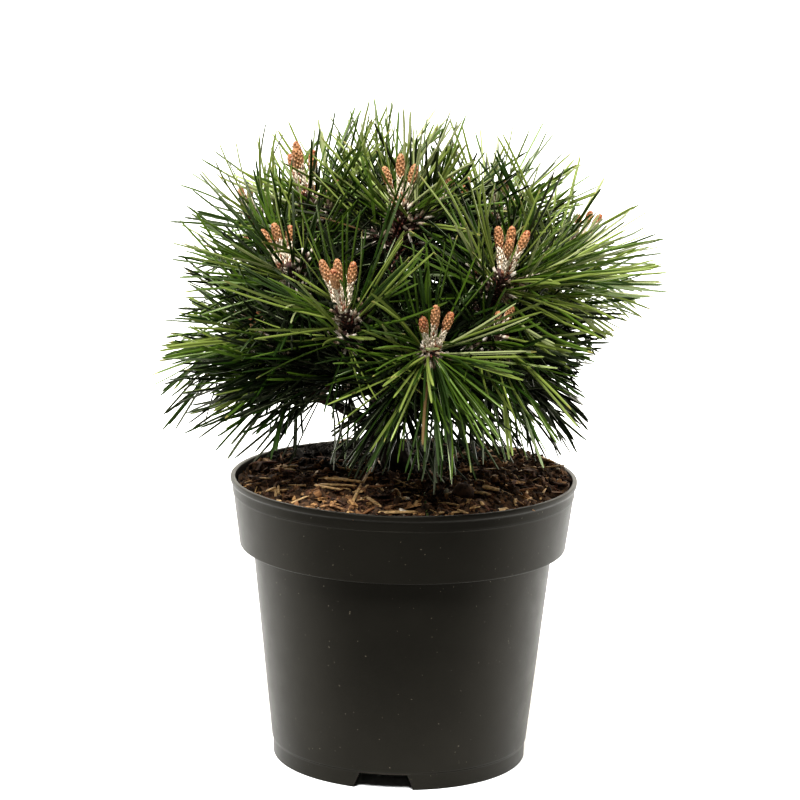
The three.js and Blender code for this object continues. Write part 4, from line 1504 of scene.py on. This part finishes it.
def spray_rows(settings, rng):
    """Every needle pair as the rule deals it out: root, heading, shoot axis, length, bend and shoot."""
    bare = {}
    for name, i, bearing, spread in BARE_SIDES:
        bare[name, i] = polar(bearing, 1, 0), math.cos(math.radians(spread))
    size = settings.length / MM
    clothed = NEEDLE["clothed"] + MORE_CLOTHED
    rows = []
    for owner, shoot in enumerate(SHOOTS):
        which = shoot["which"]
        more, longer = HABIT.get(which, (1, 1))
        count = round(settings.per_shoot * more)
        spiral(rows, shoot["way"], shoot_radius, count, size * longer, clothed, owner, rng, bare.get(which))
    for twig in TWIGS:
        count = twig["pairs"] or settings.per_twig
        longest = size * twig["needles"]
        flat = twig.get("lean", NEEDLE["flat"])
        spiral(rows, twig["way"], twig_radius, count, longest, TWIG["clothed"], twig["owner"], rng, flat=flat)
    return map(np.array, zip(*rows))


def sprays(settings):
    """The needle pairs. One that would leave the plant's reach is shorter, or is left out."""
    rng = RNG(5)
    noise.seed_set(1)
    root, heading, axis, size, bend, owner = spray_rows(settings, rng)
    low = np.array(CAD_BOX[0]) / MM + CLEAR["box"]
    high = np.array(CAD_BOX[1]) / MM - CLEAR["box"]
    lowest = SOIL_LEVEL + np.interp(root[:, 1], *SKIRT)
    floor = np.stack([np.full(len(root), low[0]), np.full(len(root), low[1]), lowest], axis=1)
    aim = heading + bend
    with np.errstate(divide="ignore", invalid="ignore"):
        room = np.where(aim > 0, (high - root) / aim, (floor - root) / aim)
    room = np.where(np.abs(aim) < TINY, np.inf, room).min(axis=1)
    outline = room_in_outline(seen(root), seen(root + aim * size[:, None])) * OUTLINE_RULE["over"]
    spared = rng.uniform(0, 1, len(root)) < OUTLINE_RULE["kept"]
    least = OUTLINE_RULE["least"]
    keep = (room > least * size) & ((outline > 1) | (outline > least) & spared)
    size = np.minimum(size * np.minimum(outline, 1), room)
    tip = root + aim * size[:, None]
    keep &= ~across_sky(root, tip, rng)
    starts, ends, radii, owners = obstacles()
    gap = segment_gap(root + heading * CLEAR["root"], tip, starts, ends) - radii
    gap[owner[:, None] == owners[None]] = FAR
    keep &= gap.min(axis=1) > CLEAR["limb"]
    parts = {"root": root, "heading": heading, "axis": axis, "size": size, "bend": bend, "owner": owner}
    return {name: part[keep] for name, part in parts.items()}


NEEDLE_STATIONS = (0, 0.12, 0.32, 0.55, 0.78, 0.95, 1)
NEEDLE_PROFILE = ((0, 0.12, 0.3, 0.8, 0.95, 1), (0.75, 0.92, 1, 0.98, 0.82, 0.42))
# a pair: how far apart its needles point and bend, how uneven they are, the gap between their flat sides
PAIR = {
    "twist": 0.8,
    "apart": (0.02, 0.11),
    "spread": (0.0, 0.06),
    "sway": 0.015,
    "uneven": (0.93, 1.0),
    "width": (0.85, 1.1),
    "gap": 0.12,
    "tip": 0.9,
    "yellowed": 0.2,
    "dry": 0.0015,
}
SHEATH = {
    "length": 6.5,
    "inside": 2,
    "uneven": (0.8, 1.15),
    "width": 1.9,
    "depth": 0.9,
    "profile": ((0, 0.5, 1), (0.85, 1, 0.8)),
}
MOST_TRIANGLES = 190000  # in one piece
# the crown as an ellipsoid, and its needles' painted light and shade: how much lighter they are from its
# middle to its skin, and darker low down, where less light reaches; partly real, as the old needles deep
# inside are darker
CROWN = {
    "middle": (0, 0, 214),
    "size": (85, 78, 70),
    "below": 1.8,
    "shade": ((0.5, 0.85, 1.0, 1.2), (-3.5, -1.5, -0.3, 0.6)),
    "under": ((160, 228), (-1.6, 0)),
}
# how much the tones of sprays and of pairs differ, and where one green gives way to the next
TONE = {"spray": 0.3, "pair": 0.75, "steps": (-0.95, -0.3, 0.5, 1.35)}
GREENS = len(TONE["steps"]) + 1
TIP, DRY = 2 * GREENS, 2 * GREENS + 1  # finishes after the greens and their inner sides


def tones(pairs, rng):
    """Which green each pair has: painted shade inside and under the crown, painted light on its skin, over
    tones that differ at random by spray and pair.
    """
    root, heading, size, owner = (pairs[part] for part in ("root", "heading", "size", "owner"))
    shade = RNG(3).normal(0, TONE["spray"], owner.max() + 1)[owner] + rng.normal(0, TONE["pair"], len(root))
    halfway = root + (heading + pairs["bend"] / 2) * size[:, None] / 2
    share = (halfway - CROWN["middle"]) / CROWN["size"]
    share[share[:, 2] < 0, 2] /= CROWN["below"]
    depth = np.linalg.norm(share, axis=1)
    # painted light and shade: the greens darken with depth in the crown and low down, and lighten on its skin
    shade += np.interp(depth, *CROWN["shade"]) + np.interp(halfway[:, 2], *CROWN["under"])
    return np.digitize(shade, TONE["steps"])


def needle_heaps(pairs, width, rng):
    """The needles, two to a pair, in as many heaps as keep each piece light enough."""
    template = Template(4, NEEDLE_STATIONS, half=True)
    tipped = template.face_share > PAIR["tip"]
    heaps = [Heap()]
    for group in range(pairs["owner"].max() + 1):
        mine = {name: part[pairs["owner"] == group] for name, part in pairs.items()}
        heading, tone = mine["heading"], mine["tone"][:, None]
        m = len(heading)
        if heaps[-1].triangles() + 2 * m * template.triangles > MOST_TRIANGLES:
            heaps.append(Heap())
        for hand in (-1, 1):
            outward = mine["twist"] * hand
            apart = rng.uniform(*PAIR["apart"], (m, 1))
            bend = mine["bend"] + outward * rng.uniform(*PAIR["spread"], (m, 1))
            bend = bend + rng.normal(0, PAIR["sway"], (m, 3))
            corners = template.along(
                mine["root"] + heading * (SHEATH["length"] - SHEATH["inside"]) + outward * PAIR["gap"],
                unit(heading + outward * apart),
                outward,
                (mine["size"] - SHEATH["length"]) * rng.uniform(*PAIR["uneven"], m),
                bend,
                width * rng.uniform(*PAIR["width"], m),
                np.full(m, width / 2),
                NEEDLE_PROFILE,
            )
            slots = tone + np.where(template.flat, GREENS, 0)[None]
            yellowed = (rng.uniform(0, 1, (m, 1)) < PAIR["yellowed"]) & (tone > 1)
            slots = np.where(tipped[None] & yellowed, TIP, slots)
            slots[rng.uniform(0, 1, m) < PAIR["dry"]] = DRY
            heaps[-1].add(corners, template.loops, template.sizes, slots)
    return heaps


def needle_finishes(settings):
    """The greens, the same on the flat inner sides with their pale breathing pores, and two more."""
    greens = (settings.inner, settings.deep, settings.leaf, settings.light, settings.bright)
    inner = [[c * 0.9 + 0.004 for c in green] for green in greens]
    finishes = [waxy(f"waxy_needle_{i}", green, 0.34) for i, green in enumerate(greens)]
    finishes += [waxy(f"waxy_needle_inside_{i}", green, 0.42) for i, green in enumerate(inner)]
    return [*finishes, waxy("waxy_needle_tip", settings.pale, 0.5), waxy("dry_needle", linear("59412a"), 0.7)]


def sheath_heap(pairs, rng):
    """The papery sheath round the root of each pair."""
    n = len(pairs["root"])
    template = Template(5, (0, 0.5, 1))
    corners = template.along(
        pairs["root"] - pairs["heading"],
        pairs["heading"],
        pairs["twist"],
        SHEATH["length"] * rng.uniform(*SHEATH["uneven"], n),
        np.zeros((n, 3)),
        np.full(n, SHEATH["width"]),
        np.full(n, SHEATH["depth"]),
        SHEATH["profile"],
    )
    heap = Heap()
    heap.add(corners, template.loops, template.sizes, rng.choice(2, n, p=(0.6, 0.4)))
    return heap


class PINE_OT_needles(bpy.types.Operator):
    """Adds the needles in pairs, and the papery sheath at the root of each pair"""

    bl_idname = "pine.needles"
    bl_label = "Needles"

    def execute(self, context):
        settings = context.scene.pine.needles
        rng = RNG(17)
        pairs = sprays(settings)
        heading = pairs["heading"]
        twist = np.cross(heading, pairs["axis"]) + rng.normal(0, PAIR["twist"], heading.shape)
        pairs["twist"] = unit(twist - (twist * heading).sum(1, keepdims=True) * heading)
        pairs["tone"] = tones(pairs, rng)
        heaps = needle_heaps(pairs, settings.width / MM, rng)
        finishes = needle_finishes(settings)
        for i, heap in enumerate(heaps):
            mesh = heap.mesh(f"needles_{i}", finishes)
            mesh.set_sharp_from_angle(angle=math.radians(65))
            add_piece(f"needles_{i}", mesh, "needles", FOLIAGE)
        finishes = [
            flecked("papery_sheath", linear("8f7d68"), linear("ded6c8"), 2.0, 0.8),
            flecked("papery_sheath_old", linear("4a3424"), linear("9b8c74"), 2.0, 0.8),
        ]
        add_piece("needle_sheaths", sheath_heap(pairs, rng).mesh("sheaths", finishes), "needles", FOLIAGE)
        return {"FINISHED"}


# ------------------------------------------------------------ candles

HEAD_FROM = 0.58  # share of a candle's length where its head begins
# a candle's body: its width beside the solid's, the length in mm from which it has all of it, how much
# thinner it may be, how far it stays under its scales, and how it bends
CORE = {"width": 0.78, "usual": 20, "thinner": (0.72, 1.0), "under": 0.98, "sway": 0.02}
CANDLE_STATIONS = (0, 0.2, 0.4, 0.52, 0.58, 0.66, 0.75, 0.84, 0.91, 0.96, 0.99, 1)
CANDLE_PROFILE = (
    (0, 0.2, 0.45, 0.55, 0.64, 0.75, 0.84, 0.91, 0.96, 0.99, 1),
    (0.6, 0.58, 0.6, 0.68, 0.9, 1, 0.98, 0.84, 0.62, 0.34, 0.08),
)
ASKEW = (0.3, 0.5, 0.2)  # no candle points along it
# the scales of the head and those below it: how far out they stand and lean, their length and width in mm
HEAD_SCALE = {"out": 0.93, "lean": (-0.01, 0.04), "length": (1.5, 2.2), "width": 0.75}
LOWER_SCALE = {"out": 0.9, "lean": (0.04, 0.22), "length": (1.8, 3.6), "width": 0.85}
SCALE = {"sides": 4, "thick": 0.24, "uneven": (0.8, 1.2), "over_tip": 0.4, "slope_step": 0.03}
# how ripe, and so how red, the head is from its root to its point, what differs from candle to candle and
# from scale to scale, and where one tone gives way to the next
RIPE = {"along": ((HEAD_FROM, 1), (-0.75, 0.75)), "candle": 0.22, "scale": 0.13, "steps": (-0.1, 0.5)}
BROWNED = ((0, 0.1, 0.2, 0.45, 0.58), (0.8, 0.5, 0.08, 0.12, 0.35))  # share of the scales below it
SCALE_BROWN, RESINOUS, SCALE_RED, LOWER_BROWN, FROSTED = range(5)
# bracts on shoots and twigs: how many to a millimetre, how long beside the longest, length of the pale end
BRACTS_ON = {"shoot": (3.4, 1, 9), "twig": (1.6, 0.6, 2)}
BRACT = {
    "lean": (0.12, 0.75),
    "length": (2.0, 4.4),
    "width": 0.3,
    "thick": 0.45,
    "out": 0.92,
    "pale": (0.55, 0.12),
}


def add_cores(heap, root, heading, size, rng):
    """Adds the bodies of the candles, and gives how they bend and how wide they are."""
    n = len(root)
    template = Template(12, CANDLE_STATIONS)
    outward = unit(rng.normal(size=(n, 3)))
    bend = rng.normal(0, CORE["sway"], (n, 3))
    width = 2 * CANDLE["radius"] * CORE["width"] * np.clip(size / CORE["usual"], *CORE["thinner"])
    core = width * CORE["under"]
    corners = template.along(root, heading, outward, size, bend, core, core / 2, CANDLE_PROFILE)
    slots = np.where(template.face_share > HEAD_FROM, SCALE_BROWN, RESINOUS)
    heap.add(corners, template.loops, template.sizes, np.tile(slots, (n, 1)))
    return bend, width


def add_scales(heap, template, count, candle, rng):
    """Adds a candle's scales in a golden-angle spiral: red-brown at its point, paler and frosted where its
    head ends, white with resin below that and brown again at its root."""
    root, heading, size, bend, width = candle
    share = (np.arange(count) + 0.5) / count * 0.97 + 0.005
    turn = np.arange(count) * GOLDEN_ANGLE + rng.uniform(0, math.tau)
    side = unit(np.cross(heading, ASKEW))
    out = np.stack([turned(side, heading, t) for t in turn])
    radius = np.interp(share, *CANDLE_PROFILE) * width / 2
    step = SCALE["slope_step"]
    rise = np.interp(share + step, *CANDLE_PROFILE) - np.interp(share - step, *CANDLE_PROFILE)
    slope = rise * width / 2 / (2 * step * size)
    spot = root + heading * (size * share)[:, None] + bend * (size * share**2)[:, None]
    head = share + rng.normal(0, 0.03, count) > HEAD_FROM

    def either(part):
        return np.where(head, rng.uniform(*HEAD_SCALE[part], count), rng.uniform(*LOWER_SCALE[part], count))

    direction = heading + out * (slope + either("lean"))[:, None]
    length_mm = np.minimum(either("length"), (1.0 - share) * size + SCALE["over_tip"])
    wide = np.where(head, HEAD_SCALE["width"], LOWER_SCALE["width"]) * rng.uniform(*SCALE["uneven"], count)
    scale = np.stack([wide, length_mm, np.full(count, SCALE["thick"])], axis=1)
    ripe = np.interp(share, *RIPE["along"]) + rng.normal(0, RIPE["candle"])
    ripe = ripe + rng.normal(0, RIPE["scale"], count)
    headed = np.choose(np.digitize(ripe, RIPE["steps"]), (FROSTED, SCALE_BROWN, SCALE_RED))
    brown = rng.uniform(0, 1, count) < np.interp(share, *BROWNED)
    slots = np.where(head, headed, np.where(brown, LOWER_BROWN, RESINOUS))
    spot = spot + out * (radius * np.where(head, HEAD_SCALE["out"], LOWER_SCALE["out"]))[:, None]
    heap.add_copies(template, spot, frames(direction, out, scale), slots)


def bract_heap(template, rng):
    """The small scales on every shoot and twig, mostly pale next to the candles."""
    heap = Heap()
    limbs = [(shoot["way"], shoot_radius, *BRACTS_ON["shoot"]) for shoot in SHOOTS]
    limbs += [(twig["way"], twig_radius, *BRACTS_ON["twig"]) for twig in TWIGS]
    for way, radius, per_mm, shorter, near in limbs:
        count = int(way.length * per_mm)
        share = (np.arange(count) + 0.5) / count
        turn = np.arange(count) * GOLDEN_ANGLE
        axis = way.heading(share)
        side = unit(np.cross(axis, UP))
        out = np.stack([turned(a, b, t) for a, b, t in zip(side, axis, turn)])
        direction = axis + out * rng.uniform(*BRACT["lean"], (count, 1))
        length_mm = rng.uniform(*BRACT["length"], count) * shorter
        scale = np.stack([length_mm * BRACT["width"], length_mm, np.full(count, BRACT["thick"])], axis=1)
        pale = rng.uniform(0, 1, count) < np.where(share * way.length > way.length - near, *BRACT["pale"])
        slots = np.where(pale, 0, rng.choice((1, 2), count, p=(0.55, 0.45)))
        spot = way.place(share) + out * radius(share)[:, None] * BRACT["out"]
        heap.add_copies(template, spot, frames(direction, out, scale), slots)
    return heap


class PINE_OT_candles(bpy.types.Operator):
    """Adds the spring candles and the scales on the shoots below them"""

    bl_idname = "pine.candles"
    bl_label = "Candles"

    def execute(self, context):
        settings = context.scene.pine.candles
        rng = RNG(23)
        rows = [row for shoot in SHOOTS for row in shoot["candle_rows"]]
        root, heading, size = (np.array(x, float) for x in zip(*rows))
        heap = Heap()
        bend, width = add_cores(heap, root, heading, size, rng)
        scale = cone_template(SCALE["sides"])
        for candle in zip(root, heading, size, bend, width):
            add_scales(heap, scale, settings.scales, candle, rng)
        head = settings.head
        finishes = [
            flecked("candle_scale", shaded(head, 0.75), shaded(head, 1.3), 1.8, 0.5),
            flecked("resinous_scale", shaded(settings.resin, 0.8), settings.resin, 0.8, 0.55),
            flecked("candle_scale_red", linear("86452a"), linear("a8653c"), 1.8, 0.5),
            flecked("brown_scale", linear("6b3d28"), linear("a9775a"), 1.0, 0.6),
            flecked("candle_scale_frosted", head, linear("c49b76"), 1.8, 0.55),
        ]
        add_piece("candles", heap.mesh("candles", finishes), "needles", FOLIAGE)
        finishes = [
            flecked("bract_pale", linear("a08c74"), linear("e6ddcc"), 1.2, 0.7),
            flecked("bract_brown", linear("4a2119"), linear("7c4634"), 1.4, 0.7),
            flecked("bract_dark", linear("26120e"), linear("4c261c"), 1.4, 0.7),
        ]
        add_piece("shoot_scales", bract_heap(scale, rng).mesh("bracts", finishes), "needles", FOLIAGE)
        return {"FINISHED"}


# ------------------------------------------------------------ stage

# a light tent: white cloth at the back and sides, a dark room in front of it, which opens between two depths
TENT = {"front": 0.025, "back": 3.1, "opening": (-0.25, 0.65), "cloth": (1.0, 0.955, 0.86)}
KEY = {"bearing": -100, "rise": 60, "power": 6.4, "softness": 24}
CAMERA = {"place": (-2.64, -1469.1, 482.2), "pitch": -11.64, "roll": 1.09}
SENSOR = 36  # width in mm, as the lens is stated for
CLIPPING = (0.05, 60)
FLOOR_SIZE = 12  # half its width, in metres
# painted shade on the cloth in front of the pot: how deep its tone is there, and between which depths it
# changes
FLOOR_SHADE = {"front": 0.25, "between": (-0.17, -0.09)}


def studio_cloth(rgb):
    """Matt white cloth on the studio's floor, with painted shade in front, so that the pot mirrors dark there
    and the floor throws less light up into the crown.
    """
    material, tree, shader = new_material("studio_floor", Roughness=0.9)
    where = add_node(tree, "ShaderNodeTexCoord").outputs["Object"]
    depth = add_node(tree, "ShaderNodeSeparateXYZ", {"Vector": where}).outputs["Y"]
    near, far = FLOOR_SHADE["between"]
    share = add_node(tree, "ShaderNodeMapRange", {"Value": depth}, From_Min=near, From_Max=far)
    # painted shade: the cloth's colour is darker in front of the pot
    stops = ((0, shaded(rgb, FLOOR_SHADE["front"])), (1, rgb))
    tone = add_node(tree, "ShaderNodeValToRGB", {"Fac": share.outputs["Result"]}, stops=stops)
    tree.links.new(tone.outputs["Color"], shader.inputs["Base Color"])
    return material


def light_tent():
    """A world that is bright white cloth behind and beside the plant, and dark in front of it."""
    world = bpy.data.worlds.new("light_tent")
    world.use_nodes = True
    tree = world.node_tree
    towards = add_node(tree, "ShaderNodeTexCoord").outputs["Generated"]
    depth = add_node(tree, "ShaderNodeSeparateXYZ", {"Vector": towards}).outputs["Y"]
    start, end = TENT["opening"]
    share = add_node(
        tree,
        "ShaderNodeMapRange",
        {"Value": depth},
        interpolation_type="SMOOTHSTEP",
        From_Min=start,
        From_Max=end,
        To_Min=TENT["front"],
        To_Max=TENT["back"],
    )
    tree.links.new(share.outputs["Result"], tree.nodes["Background"].inputs["Strength"])
    tree.nodes["Background"].inputs["Color"].default_value = (*TENT["cloth"], 1)
    return world


def softbox():
    """The soft light that hangs over the plant's front."""
    light = bpy.data.lights.new("overhead_softbox", "SUN")
    light.energy = KEY["power"]
    light.angle = math.radians(KEY["softness"])
    lamp = bpy.data.objects.new("overhead_softbox", light)
    towards_light = Vector(polar(KEY["bearing"], 1, math.tan(math.radians(KEY["rise"]))))
    lamp.rotation_euler = towards_light.to_track_quat("Z", "Y").to_euler()
    return lamp


def studio_camera(lens):
    """The camera, a little above the crown and some way off."""
    data = bpy.data.cameras.new("camera")
    data.lens = lens
    data.sensor_width = SENSOR
    data.clip_start, data.clip_end = CLIPPING
    camera = bpy.data.objects.new("camera", data)
    turn = Matrix.Rotation(math.radians(90 + CAMERA["pitch"]), 4, "X")
    roll = Matrix.Rotation(math.radians(CAMERA["roll"]), 4, "Z")
    camera.matrix_world = Matrix.Translation(Vector(CAMERA["place"]) * MM) @ turn @ roll
    return camera


class PINE_OT_stage(bpy.types.Operator):
    """Adds the studio floor, its soft lights and the camera"""

    bl_idname = "pine.stage"
    bl_label = "Stage"

    def execute(self, context):
        stage = context.scene.pine.stage
        scene = context.scene
        bm = bmesh.new()
        bmesh.ops.create_grid(bm, x_segments=1, y_segments=1, size=FLOOR_SIZE)
        mesh = mesh_of(bm, "floor")
        mesh.materials.append(studio_cloth(stage.floor))
        floor = bpy.data.objects.new("floor", mesh)
        camera = studio_camera(stage.lens)
        for obj in (floor, softbox(), camera):
            scene.collection.objects.link(obj)
        scene.world = light_tent()
        scene.camera = camera
        scene.view_settings.view_transform = "Standard"
        scene.view_settings.look = "Medium High Contrast"
        return {"FINISHED"}


# ------------------------------------------------------------ add-on


class PINE_PT_panel(bpy.types.Panel):
    bl_idname = "PINE_PT_panel"
    bl_label = "Potted pine"
    bl_space_type = "VIEW_3D"
    bl_region_type = "UI"
    bl_category = "Pine"

    def draw(self, context):
        for operator in OPERATORS:
            self.layout.operator(operator.bl_idname)
        for part in PineSettings.__annotations__:
            group = getattr(context.scene.pine, part)
            box = self.layout.box()
            for name in group.__annotations__:
                box.prop(group, name)


SETTINGS = (
    PinePotSettings,
    PineCompostSettings,
    PineWoodSettings,
    PineNeedleSettings,
    PineCandleSettings,
    PineStageSettings,
    PineSettings,
)
OPERATORS = (
    PINE_OT_stage,
    PINE_OT_pot,
    PINE_OT_compost,
    PINE_OT_litter,
    PINE_OT_wood,
    PINE_OT_needles,
    PINE_OT_candles,
)


def register():
    for cls in (*SETTINGS, *OPERATORS, PINE_PT_panel):
        bpy.utils.register_class(cls)
    bpy.types.Scene.pine = PointerProperty(type=PineSettings)


def unregister():
    del bpy.types.Scene.pine
    for cls in reversed((*SETTINGS, *OPERATORS, PINE_PT_panel)):
        bpy.utils.unregister_class(cls)


def main():
    register()
    for operator in OPERATORS:
        family, name = operator.bl_idname.split(".")
        getattr(getattr(bpy.ops, family), name)()


if __name__ == "__main__":
    main()
